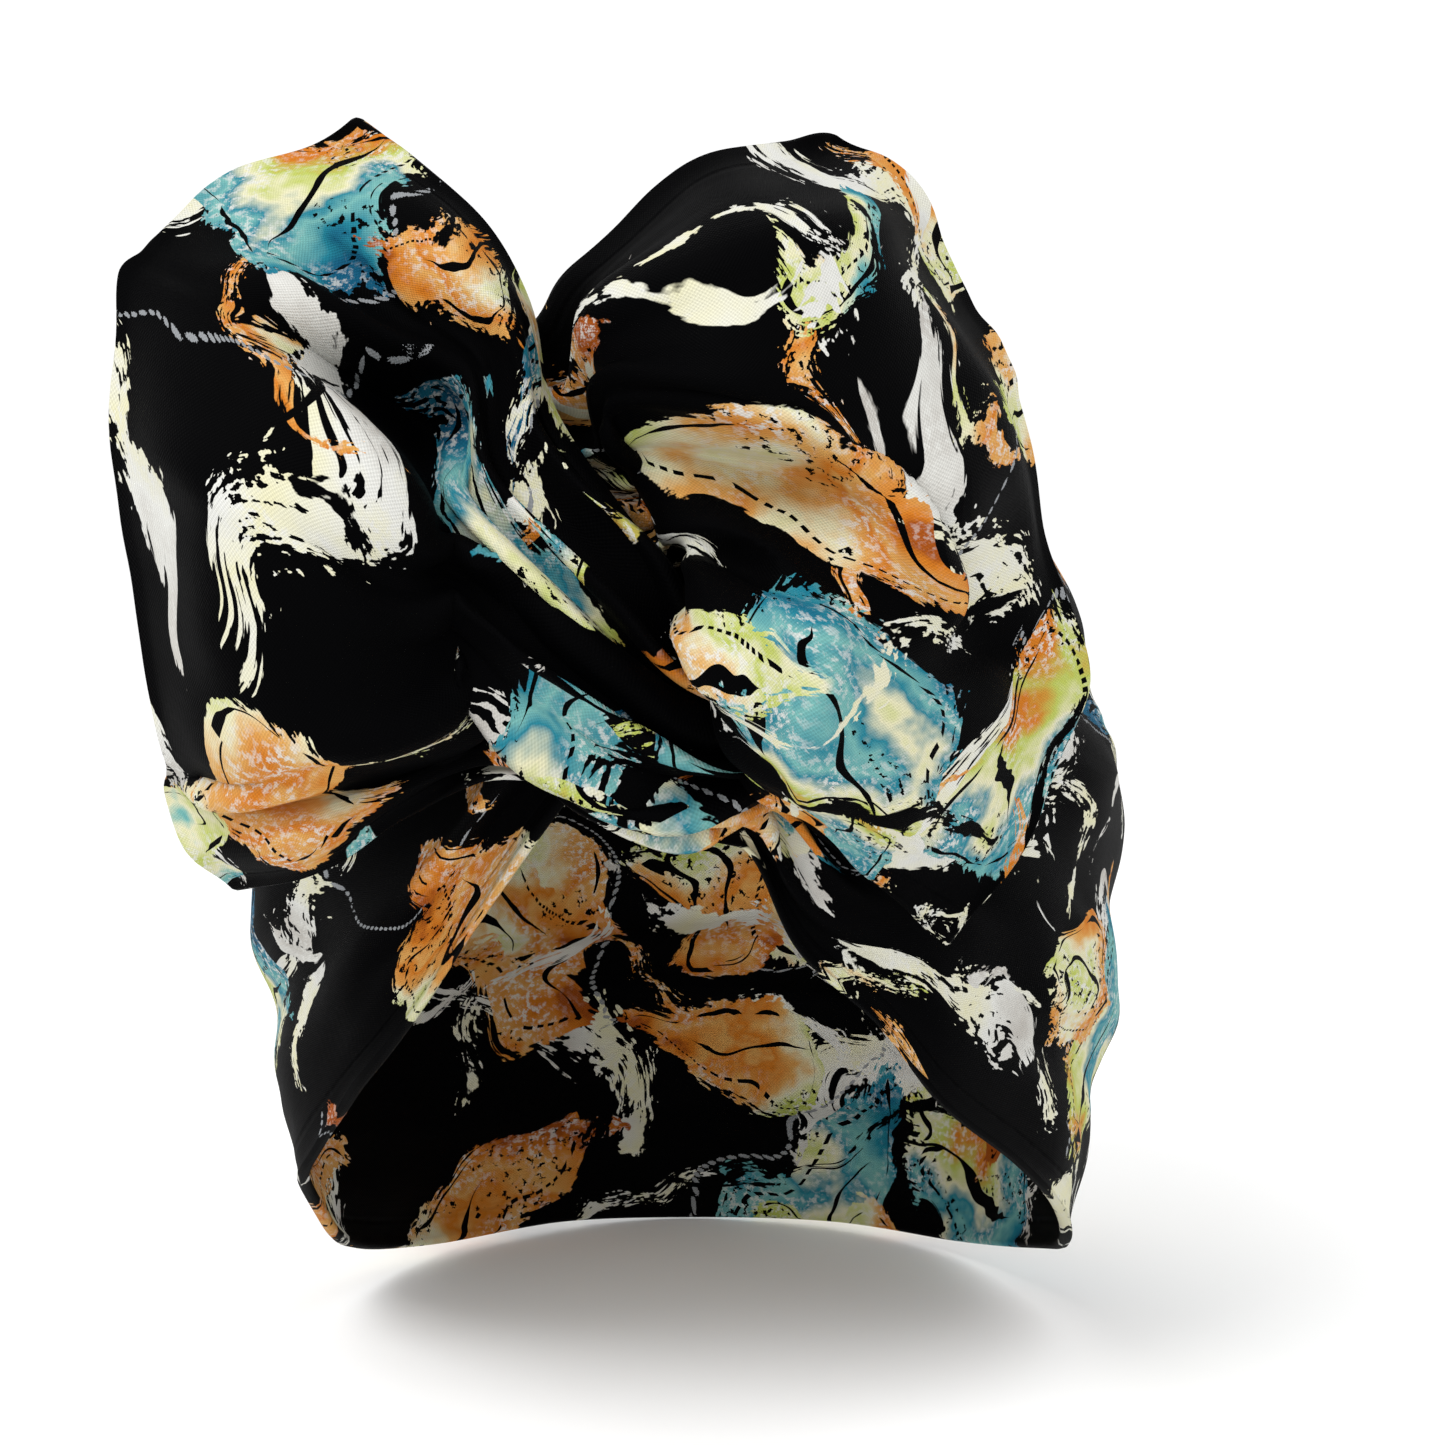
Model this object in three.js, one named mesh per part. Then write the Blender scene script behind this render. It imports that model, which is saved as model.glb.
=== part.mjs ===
// A wired cloth head wrap in its worn form: one wide doubled strip that goes round the back of its hollow, is
// twisted once at the front and stands up in a fan of folds at each end. Millimetres, +Z up, -Y the front and
// +X the right-hand side as seen from the front. The origin is the middle of the hollow at its widest level.
import * as THREE from "three";

// The hollow that the wrap closes round, for a head of 54 cm, measured from the origin.
const HOLLOW_HALF_WIDTH = 76;
const HOLLOW_HALF_LENGTH = 96;
const HOLLOW_CROWN = 107;
const NECK_TAPER = 0.1; // share of the width lost at one crown height below the origin

// The cloth.
const CLOTH_WALL = 2; // two layers of cotton and the air between them
const PARTING = 0.5; // gap where one length of the strip meets the next
const EASE = 9; // how far the middle of the band stands outside the hollow
const EDGE_EASE = 0.3; // share of it left at the band's two edges
const PLEAT_HEIGHT = 5; // height of a full fold raised on the strip
const COTTON_ROUGHNESS = 0.75;

// Step of the numeric slopes, in shares across the strip and in stations along it.
const SLOPE_STEP = 0.004;

// The lobes, measured from the middle of the twist.
const LOBE_REACH = 100; // sideways
const LOBE_DEPTH = 34; // forwards
const LOBE_RISE = 94; // upwards

// Where the middle of the twist sits, as shares of the hollow's three sizes.
const TWIST = { across: -0.18, front: 1.08, up: 0.39 };

// Cells of each length of the strip: across the strip, and along it between two neighbouring sections.
const LOBE_CELLS = { across: 36, along: 5 };
const STRAND_CELLS = { across: 18, along: 4 };
const BAND_CELLS = { across: 14, along: 3 };

// A row of a strand's table: a fold of the strip at the strand's start, where it crosses the other strand, where
// it leaves the crossing, and at the strand's end.
function strand(fold, start, crossing, leaving, end) {
  return { fold, start, crossing, leaving, end };
}

// A row of a lobe's table: a fold of the strip from near the twist out to the free end.
function lobe(fold, neck, belly, shoulder, tip) {
  return { fold, neck, belly, shoulder, tip };
}

// The strands of the twist, with a row for each fold from the upper edge of the strip to its lower edge. Cells
// are (across, front, up) as shares of the hollow's half width, half length and crown height.
const FRONT_STRAND = [
  strand("upper edge", [-0.33, 1.04, 0.81], [-0.11, 1.13, 0.58], [0.04, 1.05, 0.4], [0.29, 0.93, 0.45]),
  strand("upper roll", [-0.48, 1.18, 0.69], [-0.22, 1.22, 0.5], [-0.01, 1.14, 0.35], [0.26, 0.97, 0.37]),
  strand("crest", [-0.53, 1.22, 0.56], [-0.3, 1.24, 0.41], [-0.05, 1.17, 0.28], [0.22, 1.0, 0.29]),
  strand("lower roll", [-0.48, 1.19, 0.39], [-0.3, 1.2, 0.3], [-0.07, 1.14, 0.2], [0.17, 1.02, 0.2]),
  strand("lower edge", [-0.29, 1.05, 0.2], [-0.12, 1.09, 0.15], [0.03, 1.06, 0.12], [0.13, 1.02, 0.1]),
];
const BACK_STRAND = [
  strand("upper edge", [-0.66, 0.78, 0.58], [-0.56, 0.84, 0.75], [-0.45, 0.9, 0.87], [-0.33, 0.95, 0.93]),
  strand("upper roll", [-0.58, 0.85, 0.5], [-0.45, 0.9, 0.63], [-0.3, 0.95, 0.73], [-0.15, 1.0, 0.74]),
  strand("crest", [-0.49, 0.92, 0.4], [-0.34, 0.93, 0.5], [-0.2, 0.98, 0.59], [-0.05, 1.03, 0.6]),
  strand("lower roll", [-0.41, 0.96, 0.3], [-0.25, 0.96, 0.37], [-0.1, 0.99, 0.47], [0.03, 1.04, 0.51]),
  strand("lower edge", [-0.26, 1.0, 0.2], [-0.17, 0.99, 0.26], [-0.05, 1.0, 0.36], [0.08, 1.03, 0.44]),
];

// The lobes, with a row for each fold from the upper edge of the strip to its lower edge. Cells are (across,
// forward, up) from the middle of the twist, as shares of the lobes' reach, depth and rise.
const LEFT_LOBE = [
  lobe("top edge", [-0.13, -0.2, 0.66], [-0.2, -0.3, 0.79], [-0.31, -0.45, 0.91], [-0.44, -0.75, 1.0]),
  lobe("back swell", [-0.16, 0.1, 0.6], [-0.25, 0.1, 0.72], [-0.38, -0.2, 0.85], [-0.54, -0.7, 0.925]),
  lobe("crease", [-0.21, 0.0, 0.56], [-0.33, -0.05, 0.66], [-0.47, -0.25, 0.76], [-0.65, -0.65, 0.85]),
  lobe("back panel", [-0.25, 0.05, 0.5], [-0.37, 0.1, 0.6], [-0.55, 0.05, 0.71], [-0.76, -0.55, 0.775]),
  lobe("pocket", [-0.3, -0.45, 0.42], [-0.42, -0.3, 0.51], [-0.6, 0.1, 0.63], [-0.82, -0.45, 0.75]),
  lobe("front rim", [-0.3, 0.6, 0.31], [-0.43, 0.65, 0.44], [-0.61, 0.35, 0.58], [-0.86, -0.4, 0.7]),
  lobe("upper panel", [-0.32, 0.6, 0.2], [-0.47, 0.8, 0.31], [-0.65, 0.55, 0.41], [-0.86, -0.35, 0.51]),
  lobe("middle panel", [-0.31, 0.55, 0.11], [-0.45, 0.8, 0.16], [-0.63, 0.65, 0.21], [-0.83, -0.3, 0.26]),
  lobe("lower panel", [-0.29, 0.45, 0.02], [-0.43, 0.7, -0.02], [-0.6, 0.55, -0.01], [-0.8, -0.3, 0.02]),
  lobe("turned fold", [-0.26, 0.3, -0.07], [-0.4, 0.55, -0.16], [-0.58, 0.35, -0.2], [-0.77, -0.35, -0.19]),
  lobe("under dip", [-0.23, 0.0, -0.13], [-0.38, 0.1, -0.2], [-0.57, 0.05, -0.24], [-0.78, -0.55, -0.25]),
  lobe("flap", [-0.22, 0.0, -0.16], [-0.38, 0.15, -0.23], [-0.51, 0.2, -0.3], [-0.73, -0.45, -0.36]),
  lobe("low edge", [-0.21, -0.05, -0.19], [-0.36, -0.05, -0.26], [-0.49, -0.1, -0.37], [-0.67, -0.65, -0.43]),
];
const RIGHT_LOBE = [
  lobe("top edge", [-0.04, -0.2, 0.73], [0.1, -0.2, 0.86], [0.24, -0.4, 0.93], [0.38, -0.75, 0.96]),
  lobe("high brow", [-0.01, 0.2, 0.68], [0.17, 0.4, 0.8], [0.34, 0.1, 0.84], [0.46, -0.8, 0.91]),
  lobe("brow", [0.0, 0.4, 0.6], [0.21, 0.75, 0.68], [0.41, 0.45, 0.75], [0.55, -0.8, 0.79]),
  lobe("high crest", [-0.01, 0.4, 0.52], [0.22, 0.95, 0.53], [0.48, 0.45, 0.6], [0.62, -0.8, 0.66]),
  lobe("crest", [0.0, 0.35, 0.46], [0.3, 0.9, 0.44], [0.53, 0.6, 0.41], [0.7, -0.75, 0.55]),
  lobe("hollow", [0.03, 0.0, 0.39], [0.31, 0.2, 0.35], [0.57, 0.6, 0.26], [0.72, -0.7, 0.42]),
  lobe("swell", [0.14, 0.25, 0.25], [0.27, 0.55, 0.23], [0.59, 0.35, 0.13], [0.75, -0.65, 0.25]),
  lobe("puff brow", [0.16, 0.75, 0.16], [0.3, 0.95, 0.14], [0.58, 0.25, 0.02], [0.79, -0.6, 0.09]),
  lobe("puff", [0.17, 0.9, 0.04], [0.32, 0.95, -0.01], [0.57, 0.3, -0.09], [0.83, -0.6, -0.06]),
  lobe("low puff", [0.19, 0.7, -0.08], [0.32, 0.75, -0.16], [0.54, 0.25, -0.21], [0.78, -0.55, -0.2]),
  lobe("hem rise", [0.22, 0.4, -0.16], [0.35, 0.4, -0.24], [0.53, 0.05, -0.33], [0.69, -0.4, -0.38]),
  lobe("low edge", [0.24, 0.2, -0.21], [0.35, 0.1, -0.28], [0.47, -0.05, -0.39], [0.58, -0.25, -0.51]),
];

// The band, from the right of the twist round the nape to its left. A row is a section of the strip: the turn
// of its lower and upper edges from the front, in degrees, their heights as shares of the crown height, and the
// share of the ease that the cloth stands outside the hollow.
const BAND = [
  { section: "right of twist", lowTurn: 14, highTurn: 32, low: -0.07, high: 0.56, ease: 1.0 },
  { section: "right hairline", lowTurn: 25, highTurn: 46, low: -0.2, high: 0.64, ease: 1.0 },
  { section: "right brow", lowTurn: 34, highTurn: 58, low: -0.34, high: 0.66, ease: 1.0 },
  { section: "right temple", lowTurn: 52, highTurn: 74, low: -0.5, high: 0.64, ease: 1.0 },
  { section: "right cheek", lowTurn: 66, highTurn: 90, low: -0.62, high: 0.62, ease: 1.1 },
  { section: "right ear", lowTurn: 84, highTurn: 106, low: -0.76, high: 0.58, ease: 1.1 },
  { section: "behind right ear", lowTurn: 100, highTurn: 122, low: -0.83, high: 0.55, ease: 0.9 },
  { section: "right nape", lowTurn: 128, highTurn: 146, low: -0.91, high: 0.52, ease: 0.8 },
  { section: "right of nape", lowTurn: 155, highTurn: 164, low: -0.93, high: 0.51, ease: 0.8 },
  { section: "nape", lowTurn: 180, highTurn: 180, low: -0.94, high: 0.5, ease: 0.8 },
  { section: "left of nape", lowTurn: 205, highTurn: 196, low: -0.93, high: 0.51, ease: 0.8 },
  { section: "left nape", lowTurn: 235, highTurn: 215, low: -0.91, high: 0.52, ease: 0.8 },
  { section: "behind left ear", lowTurn: 264, highTurn: 236, low: -0.8, high: 0.55, ease: 1.0 },
  { section: "left ear", lowTurn: 282, highTurn: 252, low: -0.63, high: 0.58, ease: 1.3 },
  { section: "left cheek", lowTurn: 295, highTurn: 266, low: -0.51, high: 0.62, ease: 1.4 },
  { section: "left temple", lowTurn: 307, highTurn: 280, low: -0.38, high: 0.66, ease: 1.3 },
  { section: "left brow", lowTurn: 317, highTurn: 294, low: -0.26, high: 0.68, ease: 1.1 },
  { section: "left hairline", lowTurn: 331, highTurn: 308, low: -0.04, high: 0.66, ease: 1.0 },
];

// Folds raised on the strip: the two sections that each one runs between, its place and half width across the
// strip as shares of the strip, and its height as a share of the pleat height, negative where the cloth dips.
const FOLDS = [
  { fold: "left rim", from: "left gather", to: "left tip", at: 0.42, width: 0.03, height: -0.6 },
  { fold: "left pocket", from: "left gather", to: "left tip", at: 0.2, width: 0.035, height: 0.5 },
  { fold: "left panel", from: "left gather", to: "left tip", at: 0.55, width: 0.03, height: 0.7 },
  { fold: "left foot", from: "left gather", to: "left tip", at: 0.72, width: 0.03, height: -0.7 },
  { fold: "strand ridge", from: "left neck", to: "front end", at: 0.2, width: 0.05, height: 0.4 },
  { fold: "strand dip", from: "left neck", to: "front end", at: 0.32, width: 0.05, height: -0.4 },
  { fold: "strand pipe", from: "left neck", to: "front end", at: 0.47, width: 0.06, height: 0.4 },
  { fold: "strand valley", from: "left neck", to: "front end", at: 0.66, width: 0.05, height: -0.6 },
  { fold: "right brow", from: "right gather", to: "right tip", at: 0.16, width: 0.035, height: -0.6 },
  { fold: "right crest", from: "right gather", to: "right tip", at: 0.33, width: 0.03, height: 0.7 },
  { fold: "right temple pleat", from: "right of twist", to: "right nape", at: 0.82, width: 0.06, height: 0.6 },
  { fold: "right ear pleat", from: "right of twist", to: "nape", at: 0.56, width: 0.09, height: 0.7 },
  { fold: "right crown pleat", from: "right of twist", to: "right nape", at: 0.28, width: 0.09, height: 0.8 },
  { fold: "left temple pleat", from: "left nape", to: "left hairline", at: 0.78, width: 0.07, height: 0.7 },
  { fold: "left ear pleat", from: "nape", to: "left hairline", at: 0.5, width: 0.1, height: 0.6 },
  { fold: "left crown pleat", from: "left nape", to: "left hairline", at: 0.22, width: 0.08, height: 0.7 },
];

// A cell of the strand tables as a place in space.
function onHollow([across, front, up]) {
  return new THREE.Vector3(across * HOLLOW_HALF_WIDTH, -front * HOLLOW_HALF_LENGTH, up * HOLLOW_CROWN);
}

// A cell of the lobe tables as a place in space.
function onLobe([across, forward, up]) {
  const offset = new THREE.Vector3(across * LOBE_REACH, -forward * LOBE_DEPTH, up * LOBE_RISE);
  return onHollow([TWIST.across, TWIST.front, TWIST.up]).add(offset);
}

// The place at a turn from the front and a height, outside the hollow by the ease.
function overHollow(turn, height, ease) {
  const share = height / HOLLOW_CROWN;
  const girth = share > 0 ? Math.sqrt(1 - share * share) : 1 - NECK_TAPER * share * share;
  const angle = THREE.MathUtils.degToRad(turn);
  return new THREE.Vector3(
    Math.sin(angle) * (HOLLOW_HALF_WIDTH * girth + ease),
    -Math.cos(angle) * (HOLLOW_HALF_LENGTH * girth + ease),
    height,
  );
}

function smooth(points) {
  return new THREE.CatmullRomCurve3(points, false, "centripetal");
}

// A section of the strip, as a function from the share across the strip to a place in space.
function tableSection(rows, column, place) {
  const curve = smooth(rows.map((row) => place(row[column])));
  return (share) => curve.getPoint(THREE.MathUtils.clamp(share, 0, 1));
}

function bandSection(row) {
  return (share) => {
    const turn = THREE.MathUtils.lerp(row.highTurn, row.lowTurn, share);
    const height = THREE.MathUtils.lerp(row.high, row.low, share) * HOLLOW_CROWN;
    const swell = THREE.MathUtils.lerp(EDGE_EASE, 1, Math.sin(Math.PI * share));
    return overHollow(turn, height, row.ease * EASE * swell);
  };
}

// The whole strip as a list of named sections, from its free end in the left lobe to the one in the right lobe.
const SECTIONS = [
  { name: "left tip", at: tableSection(LEFT_LOBE, "tip", onLobe) },
  { name: "left shoulder", at: tableSection(LEFT_LOBE, "shoulder", onLobe) },
  { name: "left belly", at: tableSection(LEFT_LOBE, "belly", onLobe) },
  { name: "left neck", at: tableSection(LEFT_LOBE, "neck", onLobe) },
  { name: "left gather", at: tableSection(FRONT_STRAND, "start", onHollow) },
  { name: "front crossing", at: tableSection(FRONT_STRAND, "crossing", onHollow) },
  { name: "front leaving", at: tableSection(FRONT_STRAND, "leaving", onHollow) },
  { name: "front end", at: tableSection(FRONT_STRAND, "end", onHollow) },
  ...BAND.map((row) => ({ name: row.section, at: bandSection(row) })),
  { name: "back start", at: tableSection(BACK_STRAND, "start", onHollow) },
  { name: "back crossing", at: tableSection(BACK_STRAND, "crossing", onHollow) },
  { name: "back leaving", at: tableSection(BACK_STRAND, "leaving", onHollow) },
  { name: "right gather", at: tableSection(BACK_STRAND, "end", onHollow) },
  { name: "right neck", at: tableSection(RIGHT_LOBE, "neck", onLobe) },
  { name: "right belly", at: tableSection(RIGHT_LOBE, "belly", onLobe) },
  { name: "right shoulder", at: tableSection(RIGHT_LOBE, "shoulder", onLobe) },
  { name: "right tip", at: tableSection(RIGHT_LOBE, "tip", onLobe) },
];

function stationOf(name) {
  return SECTIONS.findIndex((section) => section.name === name);
}

// How far the folds lift the cloth at a share across the strip and a station along it. Each fold rises smoothly
// from nothing at one of its ends and dies away at the other.
function foldHeight(share, station) {
  return FOLDS.reduce((sum, fold) => {
    const first = stationOf(fold.from);
    const run = (station - first) / (stationOf(fold.to) - first);
    if (run <= 0 || run >= 1) return sum;
    const profile = Math.exp(-(((share - fold.at) / fold.width) ** 2));
    return sum + fold.height * PLEAT_HEIGHT * profile * Math.sin(Math.PI * run) ** 2;
  }, 0);
}

// The middle surface of the whole strip, over the share across it and the station along it.
class StripSurface {
  constructor() {
    this.lines = new Map();
    this.last = SECTIONS.length - 1;
  }

  // The line that runs along the whole strip at one share across it.
  line(share) {
    const key = share.toFixed(6);
    if (!this.lines.has(key)) {
      this.lines.set(key, smooth(SECTIONS.map((section) => section.at(share))));
    }
    return this.lines.get(key);
  }

  smoothPoint(share, station) {
    return this.line(share).getPoint(THREE.MathUtils.clamp(station, 0, this.last) / this.last);
  }

  // The unit normal of one of the point functions of this class.
  normalOf(pointAt, share, station) {
    const [low, high] = [Math.max(share - SLOPE_STEP, 0), Math.min(share + SLOPE_STEP, 1)];
    const [back, on] = [Math.max(station - SLOPE_STEP, 0), Math.min(station + SLOPE_STEP, this.last)];
    const across = pointAt(high, station).sub(pointAt(low, station));
    const along = pointAt(share, on).sub(pointAt(share, back));
    return along.cross(across).normalize();
  }

  point(share, station) {
    const normal = this.normalOf((u, v) => this.smoothPoint(u, v), share, station);
    return this.smoothPoint(share, station).addScaledVector(normal, foldHeight(share, station));
  }

  normal(share, station) {
    return this.normalOf((u, v) => this.point(u, v), share, station);
  }

  // The station a short distance before or after another one, along one line of the strip.
  stationBeside(share, station, distance) {
    const before = this.smoothPoint(share, station - SLOPE_STEP);
    const after = this.smoothPoint(share, station + SLOPE_STEP);
    return station + (distance * 2 * SLOPE_STEP) / before.distanceTo(after);
  }
}

// A length of the strip between two of its sections, as a closed wall of the cloth's thickness. It stops half a
// parting short of each seam, and runs right up to a free end.
function clothLength(surface, from, to, cells) {
  const first = stationOf(from);
  const last = stationOf(to);
  const steps = (last - first) * cells.along;
  const lines = [];
  for (let i = 0; i <= cells.across; i++) {
    const share = i / cells.across;
    const start = first === 0 ? first : surface.stationBeside(share, first, PARTING / 2);
    const end = last === surface.last ? last : surface.stationBeside(share, last, -PARTING / 2);
    const line = [];
    for (let j = 0; j <= steps; j++) {
      const station = THREE.MathUtils.lerp(start, end, j / steps);
      line.push({ point: surface.point(share, station), normal: surface.normal(share, station) });
    }
    lines.push(line);
  }
  return wallGeometry(lines);
}

// Closes a grid of middle points and normals into a wall: two faces and the four rims between them.
function wallGeometry(lines) {
  const rows = lines.length;
  const columns = lines[0].length;
  const positions = [];
  for (const offset of [CLOTH_WALL / 2, -CLOTH_WALL / 2]) {
    for (const { point, normal } of lines.flat()) {
      positions.push(...point.clone().addScaledVector(normal, offset).toArray());
    }
  }
  const outer = (i, j) => i * columns + j;
  const inner = (i, j) => (rows + i) * columns + j;
  const indices = [];
  const quad = (a, b, c, d) => indices.push(a, b, c, a, c, d);
  for (let i = 0; i < rows - 1; i++) {
    for (let j = 0; j < columns - 1; j++) {
      quad(outer(i, j), outer(i, j + 1), outer(i + 1, j + 1), outer(i + 1, j));
      quad(inner(i, j), inner(i + 1, j), inner(i + 1, j + 1), inner(i, j + 1));
    }
  }
  for (let j = 0; j < columns - 1; j++) {
    quad(outer(0, j), inner(0, j), inner(0, j + 1), outer(0, j + 1));
    quad(outer(rows - 1, j), outer(rows - 1, j + 1), inner(rows - 1, j + 1), inner(rows - 1, j));
  }
  for (let i = 0; i < rows - 1; i++) {
    quad(outer(i, 0), outer(i + 1, 0), inner(i + 1, 0), inner(i, 0));
    quad(outer(i, columns - 1), inner(i, columns - 1), inner(i + 1, columns - 1), outer(i + 1, columns - 1));
  }
  const geometry = new THREE.BufferGeometry();
  geometry.setAttribute("position", new THREE.Float32BufferAttribute(positions, 3));
  geometry.setIndex(indices);
  geometry.computeVertexNormals();
  return geometry;
}

// The nodes, each a length of the strip.
const LENGTHS = [
  { name: "head_band", from: "front end", to: "back start", cells: BAND_CELLS, colour: 0x1f2424 },
  { name: "twist_back", from: "back start", to: "right gather", cells: STRAND_CELLS, colour: 0x1c1c1e },
  { name: "twist_front", from: "left gather", to: "front end", cells: STRAND_CELLS, colour: 0x161618 },
  { name: "left_lobe", from: "left tip", to: "left gather", cells: LOBE_CELLS, colour: 0x1a1a1c },
  { name: "right_lobe", from: "right gather", to: "right tip", cells: LOBE_CELLS, colour: 0x201f1d },
];

const strip = new StripSurface();
const headWrap = new THREE.Group();
headWrap.name = "wire_headband";
for (const { name, from, to, cells, colour } of LENGTHS) {
  const material = new THREE.MeshStandardMaterial({ color: colour, roughness: COTTON_ROUGHNESS, metalness: 0 });
  const mesh = new THREE.Mesh(clothLength(strip, from, to, cells), material);
  mesh.name = name;
  headWrap.add(mesh);
}

export default headWrap;
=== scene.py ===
"""A wired cloth head wrap in its worn form, dressed in printed cotton.

The wrap is one wide doubled strip. It goes round the back of its hollow, is twisted once at the front, and
stands up in a fan of folds at each end. Metres, +Z up, -Y the front. The tables hold the same shares of the
same named sizes as the part's own source, and the finer folds, hems and finishes are added here.
"""
import logging
import math
from dataclasses import dataclass, field
from enum import Enum
from functools import partial
from typing import Callable, NamedTuple

import bpy
import numpy as np
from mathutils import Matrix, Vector


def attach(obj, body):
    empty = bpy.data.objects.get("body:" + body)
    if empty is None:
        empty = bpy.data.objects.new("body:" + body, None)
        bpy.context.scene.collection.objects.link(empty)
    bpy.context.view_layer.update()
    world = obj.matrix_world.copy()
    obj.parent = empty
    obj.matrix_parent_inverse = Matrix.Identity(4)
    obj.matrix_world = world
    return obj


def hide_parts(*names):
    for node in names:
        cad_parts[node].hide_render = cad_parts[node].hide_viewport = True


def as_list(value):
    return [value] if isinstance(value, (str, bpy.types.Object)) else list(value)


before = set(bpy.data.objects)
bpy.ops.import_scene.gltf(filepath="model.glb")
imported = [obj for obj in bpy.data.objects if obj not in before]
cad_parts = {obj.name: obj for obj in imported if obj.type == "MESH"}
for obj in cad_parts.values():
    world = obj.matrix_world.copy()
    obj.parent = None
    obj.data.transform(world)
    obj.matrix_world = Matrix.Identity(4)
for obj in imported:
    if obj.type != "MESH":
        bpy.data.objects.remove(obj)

LOG = logging.getLogger("wire_headband")

Share3 = tuple[float, float, float]


class Fold(NamedTuple):
    """A fold of the strip along a strand or a lobe, through one place in each of its four sections.

    A strand's places are (across, front, up) shares of the hollow. A lobe's are (across, forward, up) shares
    of the lobes' reach, depth and rise, from the gather to the tip.
    """

    fold: str
    places: tuple[Share3, Share3, Share3, Share3]


class BandSection(NamedTuple):
    """A section of the band: turns of its edges in degrees, heights and ease as shares of crown and ease."""

    section: str
    low_turn: float
    high_turn: float
    low: float
    high: float
    ease: float


class RaisedFold(NamedTuple):
    """A fold raised on the strip between two sections.

    `at` and `at_end` are its places across the strip at its two ends and `width` its half width, as shares of
    the strip. `height` is a share of the pleat height, `lean` how far it leans over towards the lower edge as
    a share of its height, `rise` and `fall` the shares of its run in which it grows and dies away.
    """

    fold: str
    start: str
    end: str
    at: float
    at_end: float
    width: float
    height: float
    lean: float = 0.0
    rise: float = 0.5
    fall: float = 0.5


class CreaseKind(Enum):
    """How the cloth lies beside a crease."""

    RIDGE = "a round ridge or, with a negative height, a groove"
    STEP = "raised on the side towards the lower edge and dipped on the other"


class Crease(NamedTuple):
    """A crease drawn over the flat strip.

    `path` holds (run, share) pairs: the run along the strip from its left free end, as a share of the strip's
    width, and the share across it. `sharp` is the half width of the crease itself and `reach` how far its
    sides are lifted, in metres, as is `height`. `lean` is the sideways shift as a share of the height.
    """

    crease: str
    kind: CreaseKind
    path: tuple[tuple[float, float], ...]
    sharp: float
    reach: float
    height: float
    lean: float = 0.0


class FitShift(NamedTuple):
    """A small shift of the worn cloth at a section, in metres, that fades over a share of the strip."""

    section: str
    share: float
    spread: float
    shift: Share3


FRONT_STRAND = tuple(Fold(*row) for row in (
    ("upper edge", ((-0.33, 1.04, 0.81), (-0.11, 1.13, 0.58), (0.04, 1.05, 0.4), (0.29, 0.93, 0.45))),
    ("upper roll", ((-0.48, 1.18, 0.69), (-0.22, 1.22, 0.5), (-0.01, 1.14, 0.35), (0.26, 0.97, 0.37))),
    ("crest", ((-0.53, 1.22, 0.56), (-0.3, 1.24, 0.41), (-0.05, 1.17, 0.28), (0.22, 1.0, 0.29))),
    ("lower roll", ((-0.48, 1.19, 0.39), (-0.3, 1.2, 0.3), (-0.07, 1.14, 0.2), (0.17, 1.02, 0.2))),
    ("lower edge", ((-0.29, 1.05, 0.2), (-0.12, 1.09, 0.15), (0.03, 1.06, 0.12), (0.13, 1.02, 0.1))),
))
BACK_STRAND = tuple(Fold(*row) for row in (
    ("upper edge", ((-0.66, 0.78, 0.58), (-0.56, 0.84, 0.75), (-0.45, 0.9, 0.87), (-0.33, 0.95, 0.93))),
    ("upper roll", ((-0.58, 0.85, 0.5), (-0.45, 0.9, 0.63), (-0.3, 0.95, 0.73), (-0.15, 1.0, 0.74))),
    ("crest", ((-0.49, 0.92, 0.4), (-0.34, 0.93, 0.5), (-0.2, 0.98, 0.59), (-0.05, 1.03, 0.6))),
    ("lower roll", ((-0.41, 0.96, 0.3), (-0.25, 0.96, 0.37), (-0.1, 0.99, 0.47), (0.03, 1.04, 0.51))),
    ("lower edge", ((-0.26, 1.0, 0.2), (-0.17, 0.99, 0.26), (-0.05, 1.0, 0.36), (0.08, 1.03, 0.44))),
))
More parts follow.
